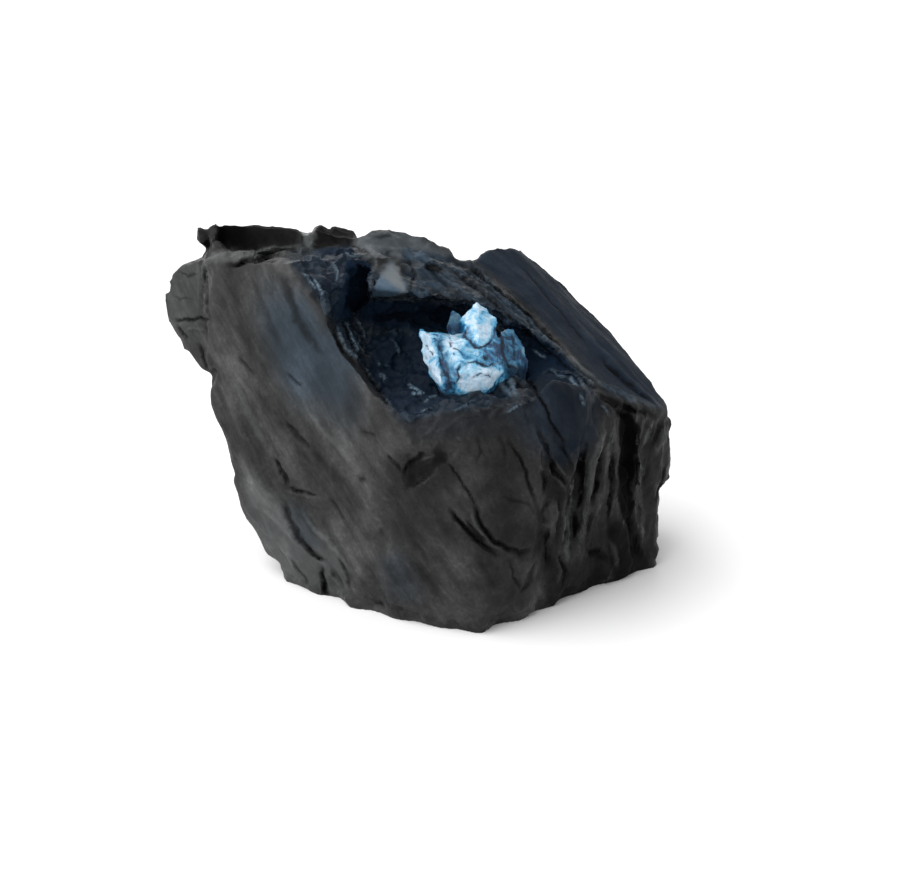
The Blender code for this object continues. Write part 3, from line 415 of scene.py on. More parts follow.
class Surface:
    """A mesh's points, in millimetres, and its normals, as arrays that can all be worked at once."""

    def __init__(self, thing):
        self.mesh = thing.data
        self.mesh.calc_loop_triangles()
        count = len(self.mesh.vertices)
        listed = np.empty(count * 3, np.float32)
        self.mesh.vertices.foreach_get("co", listed)
        self.points = listed.reshape(-1, 3).astype(float) / MM
        corners = np.empty(len(self.mesh.loop_triangles) * 3, np.int32)
        self.mesh.loop_triangles.foreach_get("vertices", corners)
        self.triangles = corners.reshape(-1, 3)
        ends = np.empty(len(self.mesh.edges) * 2, np.int32)
        self.mesh.edges.foreach_get("vertices", ends)
        self.edges = ends.reshape(-1, 2)
        self.find_normals()
        self.look()

    def find_normals(self):
        a, b, c = (self.points[self.triangles[:, k]] for k in range(3))
        face = np.cross(b - a, c - a)
        normals = np.zeros_like(self.points)
        for k in range(3):
            for axis in range(3):
                normals[:, axis] += np.bincount(self.triangles[:, k], face[:, axis], len(normals))
        self.normals = normals / np.maximum(np.linalg.norm(normals, axis=1), 1e-9)[:, None]

    def averaged(self, values, rounds):
        """Values at the points, each averaged with its neighbours a number of times."""
        ends = self.edges
        count = np.bincount(ends.ravel(), minlength=len(values)).astype(float)
        values = np.array(values, float).reshape(len(self.points), -1)
        for _ in range(rounds):
            for axis in range(values.shape[1]):
                total = np.bincount(ends[:, 0], values[ends[:, 1], axis], len(values))
                total += np.bincount(ends[:, 1], values[ends[:, 0], axis], len(values))
                values[:, axis] = 0.5 * values[:, axis] + 0.5 * total / count
        return values

    def lift(self, height):
        """Moves each point along its normal by a height in millimetres."""
        self.points += self.normals * height[:, None]
        self.find_normals()

    def soften(self, where, rounds):
        """Rounds off edges where it is asked to."""
        self.points += (self.averaged(self.points, rounds) - self.points) * where[:, None]
        self.find_normals()

    def broken(self, where, size, depth, seed, grain=(0, 0, 1), stretch=1.0, tilt=0.8):
        """Breaks the surface into tilted, slightly dished facets of a given size that meet in sharp crests.

        A stretch above 1 draws them out along the grain."""
        asked = np.flatnonzero(where > 0.01)
        grain = np.array(grain, float) / np.linalg.norm(grain)
        places = self.points[asked]
        places = (places - np.outer(places @ grain, grain) * (1 - 1 / stretch)) / size
        cells = np.floor(places).astype(np.int64)
        lowest = np.full(len(asked), np.inf)
        steps = (-1, 0, 1)
        for step in [(i, j, k) for i in steps for j in steps for k in steps]:
            near = cells + step
            rolled = dice(near, seed, 7)
            off = places - near - np.stack(rolled[:3], axis=1)
            slope = (np.stack(rolled[4:7], axis=1) * 2 - 1) * tilt
            lowest = np.minimum(lowest, (off * off).sum(axis=1) + 0.5 * rolled[3] + (off * slope).sum(axis=1))
        height = np.zeros(len(self.points))
        height[asked] = np.clip(lowest - np.median(lowest), -0.8, 0.8) * depth
        self.lift(height * where)

    def trim_spikes(self, most):
        """Draws in any point that stands further than most, in millimetres, from its neighbours."""
        out = self.points - self.averaged(self.points, 2)
        far = np.linalg.norm(out, axis=1) > most
        self.points[far] -= out[far]
        self.find_normals()

    def look(self):
        """Finds each point's place on the drawing board and how much it faces the main view.

        The places wander a little, so that what is drawn on them has an uneven edge."""
        tilt = math.radians(VIEW_ELEVATION)
        forwards = np.array((0, math.cos(tilt), -math.sin(tilt)))
        up = np.array((0, math.sin(tilt), math.cos(tilt)))
        away = self.points - (np.array(VIEW_CENTRE_MM) - forwards * VIEW_DISTANCE_MM)
        scale = VIEW_DISTANCE_MM / (away @ forwards)
        self.place = np.stack([away[:, 0] * scale, (away @ up) * scale], axis=1)
        for axis in range(2):
            for shift, size, seed in WANDER_MM:
                self.place[:, axis] += shift * smooth_noise(self.points, size, seed + axis)
        sight = np.linalg.norm(away, axis=1)
        self.facing = -(self.averaged(self.normals, 3) * away).sum(axis=1) / sight

    def patch(self, outlines, blur, least_facing=0.0):
        """1 inside the outlines on what faces the main view, and 0 elsewhere, with blurred borders."""
        place = self.place
        drawn = np.zeros(len(place))
        for outline in outlines:
            corners = [on_board(u, v) for u, v in outline]
            crossings = np.zeros(len(place), int)
            for start, end in zip(corners, corners[1:] + corners[:1]):
                spans = (place[:, 1] < start[1]) != (place[:, 1] < end[1])
                if start[1] != end[1]:
                    lean = (place[:, 1] - start[1]) * (end[0] - start[0]) / (end[1] - start[1])
                    meets = start[0] + lean
                    crossings += spans & (place[:, 0] < meets)
            drawn = np.maximum(drawn, crossings % 2)
        return self.averaged(drawn * (self.facing > least_facing), blur)[:, 0]

    def stroke(self, path, width):
        """1 along a drawn path, falling to 0 at half its width away and fading at its two ends."""
        place = self.place
        path = np.array([on_board(u, v) for u, v in path])
        lengths = np.linalg.norm(np.diff(path, axis=0), axis=1)
        before = np.concatenate([[0], np.cumsum(lengths)])
        best = np.full(len(place), np.inf)
        share = np.zeros(len(place))
        for index, length in enumerate(lengths):
            start, step = path[index], path[index + 1] - path[index]
            t = np.clip((place - start) @ step / length ** 2, 0, 1)
            distance = np.linalg.norm(place - start - t[:, None] * step, axis=1)
            closer = distance < best
            best[closer] = distance[closer]
            share[closer] = (before[index] + t[closer] * length) / before[-1]
        ends = np.minimum(1, 4 * np.minimum(share, 1 - share) + 0.2)
        return np.clip(1 - best / (width / 2), 0, 1) * ends * (self.facing > FACING)

    def bulge(self, rounds):
        """How far each point stands out from its neighbourhood, in millimetres."""
        return ((self.points - self.averaged(self.points, rounds)) * self.normals).sum(axis=1)

    def write(self):
        self.mesh.vertices.foreach_set("co", (self.points * MM).astype(np.float32).ravel())
        self.mesh.update()


def only(thing):
    """Selects one object alone and makes it active."""
    bpy.ops.object.select_all(action="DESELECT")
    thing.select_set(True)
    bpy.context.view_layer.objects.active = thing


def copy_of_node(node, name):
    """A copy of a CAD node with its own mesh, its loose triangles merged."""
    only(frame["nodes"][node])
    bpy.ops.object.duplicate()
    piece = bpy.context.view_layer.objects.active
    piece.name = name
    piece.data.name = name
    if piece.parent:
        bpy.ops.object.parent_clear(type="CLEAR_KEEP_TRANSFORM")
    piece.data.materials.clear()
    bpy.ops.object.mode_set(mode="EDIT")
    bpy.ops.mesh.select_all(action="SELECT")
    bpy.ops.mesh.remove_doubles(threshold=0.00001)
    bpy.ops.mesh.normals_make_consistent(inside=False)
    bpy.ops.object.mode_set(mode="OBJECT")
    return piece


def finish_with(thing, kind, name, **settings):
    """Adds a modifier with its settings and applies it."""
    only(thing)
    step = thing.modifiers.new(name, kind)
    for key, value in settings.items():
        setattr(step, key, value)
    bpy.ops.object.modifier_apply(modifier=step.name)


def even_points(thing, spacing):
    """Makes the mesh again with evenly spaced points, and deletes the crumbs that this leaves beside it."""
    finish_with(thing, "REMESH", "even_points", mode="VOXEL", voxel_size=spacing)
    lowest = min(thing.data.vertices, key=lambda point: point.co.z).index
    bpy.ops.object.mode_set(mode="EDIT")
    bpy.ops.mesh.select_all(action="DESELECT")
    bpy.ops.object.mode_set(mode="OBJECT")
    thing.data.vertices[lowest].select = True
    bpy.ops.object.mode_set(mode="EDIT")
    bpy.ops.mesh.select_linked()
    bpy.ops.mesh.select_all(action="INVERT")
    bpy.ops.mesh.delete(type="VERT")
    bpy.ops.object.mode_set(mode="OBJECT")


def paint(thing, name, values):
    """Stores a number at each point as an attribute that a material reads."""
    layer = thing.data.attributes.get(name) or thing.data.attributes.new(name, "FLOAT", "POINT")
    layer.data.foreach_set("value", np.clip(values, 0, 1).astype(np.float32))


def keep_in_box(surface, box):
    """Holds the points inside a box given as two corners in metres."""
    low, high = (np.array(corner) / MM for corner in box)
    surface.points = np.clip(surface.points, low, high)
    surface.find_normals()


def add_node(tree, kind, settings=None, **inputs):
    """Adds a shader node with its settings. An input is a value, or the output socket it is linked from."""
    made = tree.nodes.new(kind)
    for key, value in (settings or {}).items():
        setattr(made, key, value)
    for key, value in inputs.items():
        place = int(key[1:]) if key[0] == "i" and key[1:].isdigit() else key.replace("_", " ")
        if isinstance(value, bpy.types.NodeSocket):
            tree.links.new(value, made.inputs[place])
        else:
            made.inputs[place].default_value = value
    return made


def new_material(name):
    """An empty node material with its surface shader."""
    material = bpy.data.materials.new(name)
    material.use_nodes = True
    tree = material.node_tree
    return material, tree, tree.nodes["Principled BSDF"]


def ramp(tree, factor, *stops):
    """A colour ramp from (place, hex or grey) stops."""
    made = add_node(tree, "ShaderNodeValToRGB", Fac=factor)
    elements = made.color_ramp.elements
    while len(elements) < len(stops):
        elements.new(0.5)
    for element, (place, colour) in zip(elements, stops):
        element.position = place
        element.color = linear(colour) if isinstance(colour, str) else (colour, colour, colour, 1)
    return made.outputs["Color"]


def drawn_out(tree, direction, stretch):
    """Object coordinates squeezed along a direction, so that a pattern is drawn out that way."""
    place = add_node(tree, "ShaderNodeTexCoord").outputs["Object"]
    along = Vector(direction).normalized()
    dot = add_node(tree, "ShaderNodeVectorMath", {"operation": "DOT_PRODUCT"}, i0=place, i1=along)
    share = 1 - 1 / stretch
    slip = add_node(tree, "ShaderNodeMath", {"operation": "MULTIPLY"}, i0=dot.outputs["Value"], i1=share)
    shift = add_node(tree, "ShaderNodeVectorMath", {"operation": "SCALE"}, i0=along, Scale=slip.outputs[0])
    shift = shift.outputs[0]
    return add_node(tree, "ShaderNodeVectorMath", {"operation": "SUBTRACT"}, i0=place, i1=shift).outputs[0]


def noise(tree, place, scale, detail, roughness=0.5, distortion=0.0, **settings):
    """A noise pattern from 0 to 1, whose scale is its number of blotches a metre."""
    return add_node(tree, "ShaderNodeTexNoise", settings, Vector=place, Scale=scale, Detail=detail,
                    Roughness=roughness, Distortion=distortion).outputs["Fac"]


def mix(tree, kind, factor, a, b):
    """Two colours mixed."""
    settings = {"data_type": "RGBA", "blend_type": kind}
    return add_node(tree, "ShaderNodeMix", settings, i0=factor, i6=a, i7=b).outputs[2]


def attribute(tree, name):
    """A painted layer of the piece, from 0 to 1."""
    return add_node(tree, "ShaderNodeAttribute", {"attribute_name": name}).outputs["Fac"]


# Colours of the coal's painted light and shade: painted blue light, painted shade, painted blue shade, painted
# glints, and painted shade in cracks
PAINTED_BLUE_LIGHT_HEX = "#98bfe4"
PAINTED_SHADE_HEX = "#282828"
PAINTED_BLUE_SHADE_HEX = "#0a1a2b"
PAINTED_GLINT_HEX = "#7c93a3"
PAINTED_CRACK_SHADE_HEX = "#030303"


def banded_coal(tree, place, settings):
    """The coal's body colour with its fibres, streaks and flecks, and the patterns that also roughen it."""
    clouds = noise(tree, place, 75.0, 8.0, 0.62)
    body = ramp(tree, clouds, (0.36, settings.dull_hex), (0.5, settings.body_hex), (0.66, settings.grey_hex))
    # Fibres about 2 mm apart, drawn a little coarser than the real ones so that they show
    fibres = noise(tree, drawn_out(tree, LEFT_FACE_GRAIN, 8.0), 420.0, 6.0, 0.7)
    # Streaks of brighter coal 3 to 5 mm wide
    streaks = noise(tree, drawn_out(tree, LEFT_FACE_GRAIN, 6.0), 130.0, 4.0, 0.6, 0.4)
    # Flecks of bright coal under 1 mm across
    flecks = noise(tree, place, 900.0, 3.0, 0.6)
    for pattern, *stops in (
        (fibres, (0.32, 0.72), (0.5, 1.0), (0.7, 1.3)),
        (streaks, (0.36, 0.76), (0.5, 1.0), (0.64, 1.3)),
        (flecks, (0.35, 0.88), (0.55, 1.0), (0.7, 1.25)),
    ):
        body = mix(tree, "MULTIPLY", 1.0, body, ramp(tree, pattern, *stops))
    return body, fibres, flecks


def coal_material(settings):
    """Bituminous coal, split by hand: dull banded black with a faint sheen on its cleaved faces.

    The dull and bright bands give it its mottled greys. Its cracks, hollows and shaded faces have painted
    shade, the coal round the hollow a painted blue light, its lit faces and ridges painted highlights, its
    chips painted glints, and its rubbed edges a paler line of dust with a painted highlight."""
    material, tree, shader = new_material("bituminous_coal_cleaved")
    place = add_node(tree, "ShaderNodeTexCoord").outputs["Object"]
    body, fibres, flecks = banded_coal(tree, place, settings)

    painted_shade, painted_blue_light = attribute(tree, "painted_shade"), attribute(tree, "painted_blue_light")
    # Painted highlight: added where light falls on lit faces, ledges, lips and ridges
    lifted = mix(tree, "ADD", 1.0, body, linear(settings.pale_hex))
    body = mix(tree, "MIX", attribute(tree, "pale"), body, lifted)
    # Paler dust on rubbed edges, and a painted highlight on them
    body = mix(tree, "MIX", attribute(tree, "edge_dust_and_highlight"), body, linear(settings.edge_dust_and_highlight_hex))
    # Painted blue light: a blue cast on the coal, most round the hollow
    body = mix(tree, "MULTIPLY", painted_blue_light, body, linear(PAINTED_BLUE_LIGHT_HEX))
    # Painted shade: the colour darkened where shade falls, in hollows and crevices, under overhangs and on
    # faces turned from the light, bluer where the painted blue light is
    shade = mix(tree, "MULTIPLY", 1.0, body, linear(PAINTED_SHADE_HEX))
    shade = mix(tree, "MIX", painted_blue_light, shade, linear(PAINTED_BLUE_SHADE_HEX))
    body = mix(tree, "MIX", painted_shade, body, shade)
    # Painted glints on the chips
    body = mix(tree, "MIX", attribute(tree, "glint"), body, linear(PAINTED_GLINT_HEX))
    # Painted shade in the cracks
    body = mix(tree, "MIX", attribute(tree, "painted_crack_shade"), body, linear(PAINTED_CRACK_SHADE_HEX))
    tree.links.new(body, shader.inputs["Base Color"])

    # Dull and bright patches about 6 mm across, with matt coal where it is darkest
    patches = noise(tree, place, 160.0, 4.0, 0.6)
    dull = ramp(tree, patches, (0.35, 0.7), (0.55, 0.56), (0.75, 0.42))
    bright = ramp(tree, patches, (0.35, 0.45), (0.55, 0.3), (0.75, 0.2))
    surface = mix(tree, "MIX", attribute(tree, "gloss"), dull, bright)
    matt = ramp(tree, painted_shade, (0.6, 0.0), (0.95, 1.0))
    tree.links.new(mix(tree, "MIX", matt, surface, (1.0, 1.0, 1.0, 1.0)), shader.inputs["Roughness"])
    shader.inputs["IOR"].default_value = 1.6
    shader.inputs["Specular IOR Level"].default_value = settings.sheen

    coarse = add_node(tree, "ShaderNodeBump", Strength=0.45, Distance=0.0006, Height=fibres).outputs[0]
    fine = add_node(tree, "ShaderNodeBump", Strength=0.4, Distance=0.0003, Height=flecks, Normal=coarse)
    tree.links.new(fine.outputs[0], shader.inputs["Normal"])
    return material


def crystal_material(settings):
    """Cloudy quartz as it grew, fractured: white where it is full of flaws, sky blue where it is clearer.

    Its light is painted: its colour is emitted as well, though it is no lamp, so it shines most where it is
    white."""
    material, tree, shader = new_material("cloudy_quartz_as_grown")
    place = add_node(tree, "ShaderNodeTexCoord").outputs["Object"]
    # Clouds about 3 mm across, paler where the crystal is painted white
    cloud = noise(tree, place, 340.0, 6.0, 0.65, 0.6)
    lean = add_node(tree, "ShaderNodeMath", {"operation": "MULTIPLY_ADD"}, i0=attribute(tree, "white"),
                    i1=0.3, i2=-0.1).outputs[0]
    tone = add_node(tree, "ShaderNodeMath", {"operation": "ADD"}, i0=cloud, i1=lean).outputs[0]
    body = ramp(tree, tone, (0.34, settings.deep_hex), (0.43, settings.sky_hex), (0.52, settings.milk_hex),
                (0.64, settings.white_hex))
    # Veins about 5 mm apart
    veins = noise(tree, place, 210.0, 3.0, 0.6, 0.8, noise_type="RIDGED_MULTIFRACTAL")
    body = mix(tree, "MIX", ramp(tree, veins, (0.55, 0.0), (0.75, 0.85)), body, linear(settings.deep_hex))
    # Painted shade at its foot and in its hollows, and the darker colour of its cracks and dim parts
    body = mix(tree, "MIX", attribute(tree, "deep"), body, linear(settings.painted_crystal_shade_hex))
    tree.links.new(body, shader.inputs["Base Color"])
    # Painted light: the body colour is also emitted, though the crystal is no lamp
    tree.links.new(body, shader.inputs["Emission Color"])
    shader.inputs["Emission Strength"].default_value = settings.painted_glow
    rough = ramp(tree, attribute(tree, "deep"), (0.0, 0.16), (0.6, 0.9))
    tree.links.new(rough, shader.inputs["Roughness"])
    shader.inputs["IOR"].default_value = 1.544
    shader.inputs["Transmission Weight"].default_value = 0.25
    grit = noise(tree, place, 600.0, 4.0)
    bumpy = add_node(tree, "ShaderNodeBump", Strength=0.5, Distance=0.0004, Height=grit).outputs[0]
    tree.links.new(bumpy, shader.inputs["Normal"])
    return material


class CoalSettings(bpy.types.PropertyGroup):
    """Sizes and colours of the coal."""

    grain: FloatProperty(name="Grain", description="Spacing of the points the coal is worked with",
                         default=0.0005, min=0.0003, max=0.003, unit="LENGTH")
    triangles: IntProperty(name="Triangles", description="Triangles kept on the finished coal",
                           default=196000, min=10000, max=199000)
    sheen: FloatProperty(name="Sheen", description="How strongly its faces reflect",
                         default=0.08, min=0.0, max=1.0)
    dull_hex: StringProperty(name="Dull bands", description="Colour of the dull bands", default="#232323")
    body_hex: StringProperty(name="Body", description="Main colour of the coal", default="#303030")
    grey_hex: StringProperty(name="Grey bloom", description="Colour of the grey bloom", default="#434343")
    # What is added for the painted highlights on lit faces, lips and ridges
    pale_hex: StringProperty(name="Pale faces", description="What is added to the palest faces",
                             default="#5f6465")
    # Also the colour of the painted highlight on edges, strongest in the hollow and the band
    edge_dust_and_highlight_hex: StringProperty(name="Worn edges", description="Colour of the dust on rubbed edges",
                             default="#565655")


class CrystalSettings(bpy.types.PropertyGroup):
    """Sizes and colours of the crystal."""

    grain: FloatProperty(name="Grain", description="Spacing of the points the crystal is worked with",
                         default=0.00035, min=0.0002, max=0.002, unit="LENGTH")
    # Strength of the painted light that the crystal gives off, though it is no lamp
    painted_glow: FloatProperty(name="Glow", description="Strength of the scattered light",
                        default=0.42, min=0.0, max=10.0)
    white_hex: StringProperty(name="White", description="Colour where it is full of flaws", default="#a8bdcd")
    milk_hex: StringProperty(name="Milky", description="Colour between white and sky blue", default="#6ba4c0")
    sky_hex: StringProperty(name="Sky", description="Colour where it is clearer", default="#2f7aa3")
    deep_hex: StringProperty(name="Deep", description="Colour of its veins", default="#0e3556")
    # Painted shade at its foot and in its hollows, and the colour of its cracks
    painted_crystal_shade_hex: StringProperty(name="Night", description="Colour in its cracks and at its foot",
                              default="#061222")


class StageSettings(bpy.types.PropertyGroup):
    """Floor and light."""

    floor_colour: FloatVectorProperty(name="Floor", description="Colour of the plain floor", subtype="COLOR",
                                      default=(0.9, 0.9, 0.9), min=0.0, max=1.0)
    key_strength: FloatProperty(name="Key light", description="Strength of the soft light at the front left",
                                default=3.2, min=0.0)
    back_strength: FloatProperty(name="Back light", description="Strength of the soft light behind the lump",
                                 default=1.0, min=0.0)
    room_strength: FloatProperty(name="Room light", description="Strength of the light from all round",
                                 default=0.6, min=0.0)


# The height over which the flat foot gives way to broken coal, in millimetres
FOOT_MM = (0.3, 2.5)
# Where the back begins: from which depth in millimetres, and from how much a point faces backwards
BACK_FROM_MM = (10, 20)
BACK_FACING = (0.1, 0.4)
CHIP_HEIGHT_MM = 0.6
HIGHEST_SPIKE_MM = 0.4

# How each zone broke: the size and depth of its facets in millimetres, a seed, and for some the grain, how
# far the facets are drawn out along it, and how much they tilt
BREAKS = (
    ("plain", 8.0, 1.9, 21),
    ("plain", 3.6, 1.1, 22),
    ("side", 6.5, 2.4, 23, RIGHT_SIDE_GRAIN, 7.0),
    ("side", 3.0, 0.9, 24, RIGHT_SIDE_GRAIN, 6.0),
    ("hollow", 5.0, 2.6, 25),
    ("hollow", 2.4, 1.3, 26),
    ("band", 4.0, 1.7, 27, SLAB_GRAIN, 7.0),
    ("band", 1.8, 0.8, 28, SLAB_GRAIN, 5.0),
    ("clean", 12.0, 0.9, 29, LEFT_FACE_GRAIN, 3.0, 0.5),
    ("clean", 6.0, 0.55, 32, LEFT_FACE_GRAIN, 2.5, 0.7),
    ("clean", 3.0, 0.35, 30, LEFT_FACE_GRAIN, 7.0),
    ("rough", 1.7, 0.45, 31),
)


def find_zones(surface):
    """How much each point belongs to each zone of the coal, from 0 to 1."""
    foot = smooth_step(surface.points[:, 2], *FOOT_MM)
    clean = surface.patch(CLEAN_FACES.values(), 8, ROUND_THE_EDGE)
    for outline, strength in CRESTS.values():
        clean = np.maximum(clean, strength * surface.patch([outline], 8, BOTH_SIDES))
    clean *= foot
    band = surface.patch([ZONES["band"]], 5) * (1 - clean) * foot
    hollow = surface.patch([ZONES["hollow"]], 5) * (1 - clean) * foot
    side = surface.patch([ZONES["right_side"]], 8) * (1 - clean) * foot
    plain = (1 - clean) * (1 - band) * (1 - hollow) * (1 - side) * foot
    rough = foot * (1 - clean) * (1 - 0.6 * side)
    return {"clean": clean, "band": band, "hollow": hollow, "side": side, "plain": plain, "rough": rough}


def break_faces(surface):
    """Breaks each zone in its own way."""
    zones = find_zones(surface)
    surface.soften(0.9 * zones["clean"] + 0.5 * zones["plain"], 6)
    for zone, *how in BREAKS:
        surface.broken(zones[zone], *how)


def cut_strokes(surface):
    """Cuts the cracks, and raises the ridges and the chips."""
    surface.look()
    depth = np.zeros(len(surface.points))
    for path, width, deep, _ in STROKES.values():
        depth += deep * surface.stroke(path, width)
    for path, width, _ in GLINTING_CHIPS.values():
        depth -= CHIP_HEIGHT_MM * surface.stroke(path, width)
    surface.lift(-depth)
    for _ in range(3):
        surface.trim_spikes(HIGHEST_SPIKE_MM)


def coal_layers(surface):
    """The layers that the coal's material reads, from 0 to 1 at each point."""
    layers = {name: np.zeros(len(surface.points)) for name in ("painted_shade", "painted_blue_light", "pale", "glint", "painted_crack_shade")}
    for outline, layer, strength, blur in SHADES.values():
        least_facing = FACING if layer == "pale" else ROUND_THE_EDGE
        layers[layer] = np.maximum(layers[layer], strength * surface.patch([outline], blur, least_facing))
    for path, width, _, shade in STROKES.values():
        drawn = abs(shade) * np.minimum(1, 1.6 * surface.stroke(path, width * 0.9))
        # Strokes with a darkness above 0 are cracks and get painted shade inside
        if shade > 0:
            layers["painted_crack_shade"] = np.maximum(layers["painted_crack_shade"], drawn)
        else:
            # Strokes with a darkness below 0 get a painted highlight, which lifts the painted shade under them
            layers["pale"] = np.maximum(layers["pale"], 0.45 * drawn)
            layers["painted_shade"] *= 1 - 0.7 * drawn
    for path, width, strength in GLINTING_CHIPS.values():
        drawn = strength * np.minimum(1, 1.6 * surface.stroke(path, width))
        layers["glint"] = np.maximum(layers["glint"], drawn)

    # The painted blue light stops short of the back, where it doesn't reach
    far = smooth_step(surface.points[:, 1], *BACK_FROM_MM)
    turned_away = smooth_step(surface.normals[:, 1], *BACK_FACING)
    layers["painted_blue_light"] *= 1 - surface.averaged(far * turned_away, 4)[:, 0]

    # Sunk places get painted shade, with dust, and rubbed edges get paler dust with a painted highlight where
    # they aren't
    clean = surface.patch(CLEAN_FACES.values(), 4, ROUND_THE_EDGE)
    bright = surface.patch([ZONES["hollow"], ZONES["band"]], 6, ROUND_THE_EDGE)
    sunk = smooth_step(-surface.bulge(16), 0.05, 0.7)
    layers["painted_shade"] = np.maximum(layers["painted_shade"], (1 - 0.5 * np.maximum(clean, bright)) * sunk)
    # Rubbed edges: paler dust with a painted highlight, strongest in the hollow and the band
    edges = smooth_step(surface.bulge(2), 0.05, 0.2)
    layers["gloss"] = 1 - clean
    layers["edge_dust_and_highlight"] = edges * (0.15 + 0.75 * bright) * (1 - layers["painted_shade"])
    return layers


class COAL_OT_lump(bpy.types.Operator):
    """Makes the coal lump"""

    bl_idname = "coal.lump"
    bl_label = "Coal lump"

    def execute(self, context):
        settings = context.scene.coal_lump
        piece = copy_of_node("lump", "coal")
        even_points(piece, settings.grain)
        surface = Surface(piece)
        break_faces(surface)
        cut_strokes(surface)
        surface.write()

        kept = min(1, settings.triangles / len(surface.triangles))
        finish_with(piece, "DECIMATE", "fewer_points", ratio=kept)
        surface = Surface(piece)
        keep_in_box(surface, CAD_BOX)
        surface.write()
        for name, values in coal_layers(surface).items():
            paint(piece, name, values)

        only(piece)
        bpy.ops.object.shade_smooth_by_angle(angle=math.radians(30))
        piece.data.materials.append(coal_material(settings))
        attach(piece, "root")
        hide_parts("lump")
        return {"FINISHED"}


# Outlines on the drawing board of the crystal's white parts, and of its dim ones: darker crystal with painted
# shade where the coal shades it
WHITE_PARTS = {
    "left_sliver": ([(418, 329), (431, 333), (435, 350), (439, 368), (445, 390), (434, 380), (424, 360)],
        1.0),
    "upper_facet": ([(442, 336), (460, 334), (466, 343), (456, 353), (444, 351)], 0.85),
    "tip": ([(475, 302), (462, 318), (470, 335), (478, 349), (489, 343), (498, 320)], 0.6),
    "lower_facet": ([(457, 376), (464, 366), (476, 366), (490, 368), (504, 370), (490, 386), (472, 393),
        (458, 389)], 1.0),
    "middle_fleck": ([(466, 348), (482, 350), (480, 360), (466, 360)], 0.5),
    "left_middle": ([(446, 354), (460, 352), (462, 362), (450, 372)], 0.45),
}
DIM_PARTS = {
    "right_block": ([(499, 322), (516, 322), (534, 350), (536, 388), (506, 390), (503, 370), (498, 345)],
        0.5),
    "right_foot": ([(506, 366), (536, 362), (538, 392), (504, 394)], 0.9),
    "side_point": ([(443, 306), (460, 306), (461, 336), (443, 336)], 0.75),
    "wing_foot": ([(428, 380), (445, 390), (458, 392), (466, 400), (440, 402)], 0.6),
    "wing_root": ([(434, 334), (444, 336), (449, 352), (456, 372), (456, 392), (446, 390), (440, 366)],
        0.4),
}
CRYSTAL_CRACKS = {
    "wing_gap": ([(443, 366), (448, 378), (452, 392)], 1.5),
    "wing_gap_two": ([(436, 338), (441, 350), (445, 362)], 0.8),
    "heart_crack": ([(460, 362), (457, 370), (459, 378), (455, 386)], 1.0),
    "dark_spot": ([(481, 356), (484, 358), (486, 356)], 1.8),
    "small_spot": ([(453, 354), (455, 353)], 1.3),
    "right_crack": ([(499, 326), (501, 340), (504, 355), (508, 366), (520, 372)], 1.5),
    "tip_crack": ([(461, 331), (469, 339), (476, 348), (487, 344), (496, 336)], 1.0),
    "cross_crack": ([(462, 362), (474, 361), (486, 366), (496, 364)], 0.8),
    "lower_crack": ([(470, 378), (480, 372), (492, 377)], 0.6),
    "upper_crack": ([(448, 336), (452, 346), (462, 352)], 0.7),
    "right_vein": ([(512, 330), (514, 345), (516, 362)], 0.8),
    "sliver_crack": ([(424, 344), (430, 352), (436, 358)], 0.5),
}


# The size and depth of the crystal's facets in millimetres, with a seed
CRYSTAL_BREAKS = ((4.5, 0.9, 41), (2.0, 0.5, 42), (1.0, 0.2, 43))
# The heights between which the painted shade on the crystal's foot, down in the hollow, fades out, in
# millimetres
CRYSTAL_FOOT_MM = (60.0, 64.0)


def crystal_layers(surface):
    """The layers that the crystal's material reads, from 0 to 1 at each point."""
    # Painted shade at its foot down in the hollow and in its own hollows; its cracks and dim parts are darker
    # too, the dim parts with painted shade where the coal shades them
    deep = 1 - smooth_step(surface.points[:, 2], *CRYSTAL_FOOT_MM)
    deep = np.maximum(deep, 0.6 * smooth_step(-surface.bulge(3), 0.02, 0.12))
    for path, width in CRYSTAL_CRACKS.values():
        deep = np.maximum(deep, np.minimum(1, 1.8 * surface.stroke(path, width)))
    for outline, strength in DIM_PARTS.values():
        deep = np.maximum(deep, strength * surface.patch([outline], 6))
    white = np.zeros(len(surface.points))
    for outline, strength in WHITE_PARTS.values():
        white = np.maximum(white, strength * surface.patch([outline], 12))
    return {"deep": deep, "white": white}


class COAL_OT_crystal(bpy.types.Operator):
    """Makes the crystals in the hollow"""

    bl_idname = "coal.crystal"
    bl_label = "Crystal"

    def execute(self, context):
        settings = context.scene.coal_crystal
        piece = copy_of_node("crystal", "quartz")
        even_points(piece, settings.grain)
        surface = Surface(piece)
        everywhere = np.ones(len(surface.points))
        for how in CRYSTAL_BREAKS:
            surface.broken(everywhere, *how)
        surface.write()
        finish_with(piece, "DECIMATE", "fewer_points", ratio=0.5)
        for name, values in crystal_layers(Surface(piece)).items():
            paint(piece, name, values)

        only(piece)
        bpy.ops.object.shade_smooth_by_angle(angle=math.radians(25))
        piece.data.materials.append(crystal_material(settings))
        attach(piece, "root")
        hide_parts("crystal")
        return {"FINISHED"}


def soft_light(name, direction, strength, spread):
    """A broad light far off in a direction, with soft shadows. Its spread is in degrees."""
    bpy.ops.object.light_add(type="SUN", location=Vector(direction))
    light = bpy.context.view_layer.objects.active
    light.name = name
    light.data.energy = strength
    light.data.angle = math.radians(spread)
    light.rotation_euler = (-Vector(direction)).to_track_quat("-Z", "Y").to_euler()


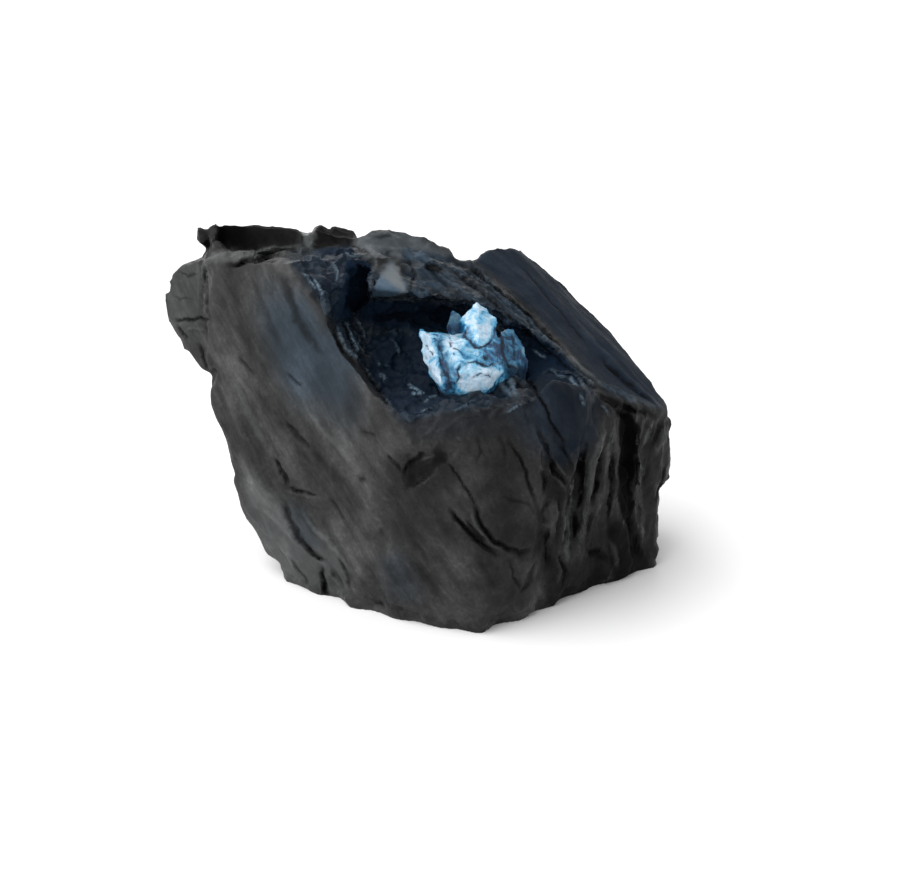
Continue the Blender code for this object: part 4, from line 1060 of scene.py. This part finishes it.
class COAL_OT_stage(bpy.types.Operator):
    """Makes the floor, the lights and the camera"""

    bl_idname = "coal.stage"
    bl_label = "Stage"

    def execute(self, context):
        settings = context.scene.coal_stage
        bpy.ops.object.select_all(action="DESELECT")
        bpy.ops.mesh.primitive_plane_add(size=12.0, location=(0, 0, 0))
        floor = context.view_layer.objects.active
        floor.name = "floor"
        material, _, shader = new_material("matt_white_paper")
        shader.inputs["Base Color"].default_value = (*settings.floor_colour, 1)
        shader.inputs["Roughness"].default_value = 0.9
        shader.inputs["Specular IOR Level"].default_value = 0.0
        floor.data.materials.append(material)

        tilt = math.radians(VIEW_ELEVATION)
        middle = Vector(VIEW_CENTRE_MM) * MM
        backwards = Vector((0, -math.cos(tilt), math.sin(tilt)))
        bpy.ops.object.camera_add(location=middle + backwards * VIEW_DISTANCE_MM * MM,
                                  rotation=(math.pi / 2 - tilt, 0, 0))
        camera = context.view_layer.objects.active
        camera.data.lens = LENS_MM
        camera.data.sensor_width = SENSOR_MM
        camera.data.clip_start = 0.01
        context.scene.camera = camera

        soft_light("key_light", (-0.75, -0.32, 0.85), settings.key_strength, 80)
        soft_light("back_light", (-0.25, 0.85, 0.46), settings.back_strength, 60)

        world = bpy.data.worlds.new("white_room")
        world.use_nodes = True
        background = world.node_tree.nodes["Background"]
        background.inputs["Color"].default_value = (1, 1, 1, 1)
        background.inputs["Strength"].default_value = settings.room_strength
        context.scene.world = world
        context.scene.view_settings.view_transform = "Standard"
        return {"FINISHED"}


PIECES = (
    (COAL_OT_lump, CoalSettings, "coal_lump"),
    (COAL_OT_crystal, CrystalSettings, "coal_crystal"),
    (COAL_OT_stage, StageSettings, "coal_stage"),
)


class COAL_PT_panel(bpy.types.Panel):
    """The pieces and their settings"""

    bl_idname = "COAL_PT_panel"
    bl_label = "Coal Lump"
    bl_space_type = "VIEW_3D"
    bl_region_type = "UI"
    bl_category = "Coal Lump"

    def draw(self, context):
        for operator, group, name in PIECES:
            box = self.layout.box()
            for setting in group.__annotations__:
                box.prop(getattr(context.scene, name), setting)
            box.operator(operator.bl_idname)


def register():
    for operator, group, name in PIECES:
        bpy.utils.register_class(group)
        bpy.utils.register_class(operator)
        setattr(bpy.types.Scene, name, PointerProperty(type=group))
    bpy.utils.register_class(COAL_PT_panel)


def unregister():
    bpy.utils.unregister_class(COAL_PT_panel)
    for operator, group, name in reversed(PIECES):
        delattr(bpy.types.Scene, name)
        bpy.utils.unregister_class(operator)
        bpy.utils.unregister_class(group)


def main():
    register()
    bpy.ops.coal.lump()
    bpy.ops.coal.crystal()
    bpy.ops.coal.stage()


if __name__ == "__main__":
    main()
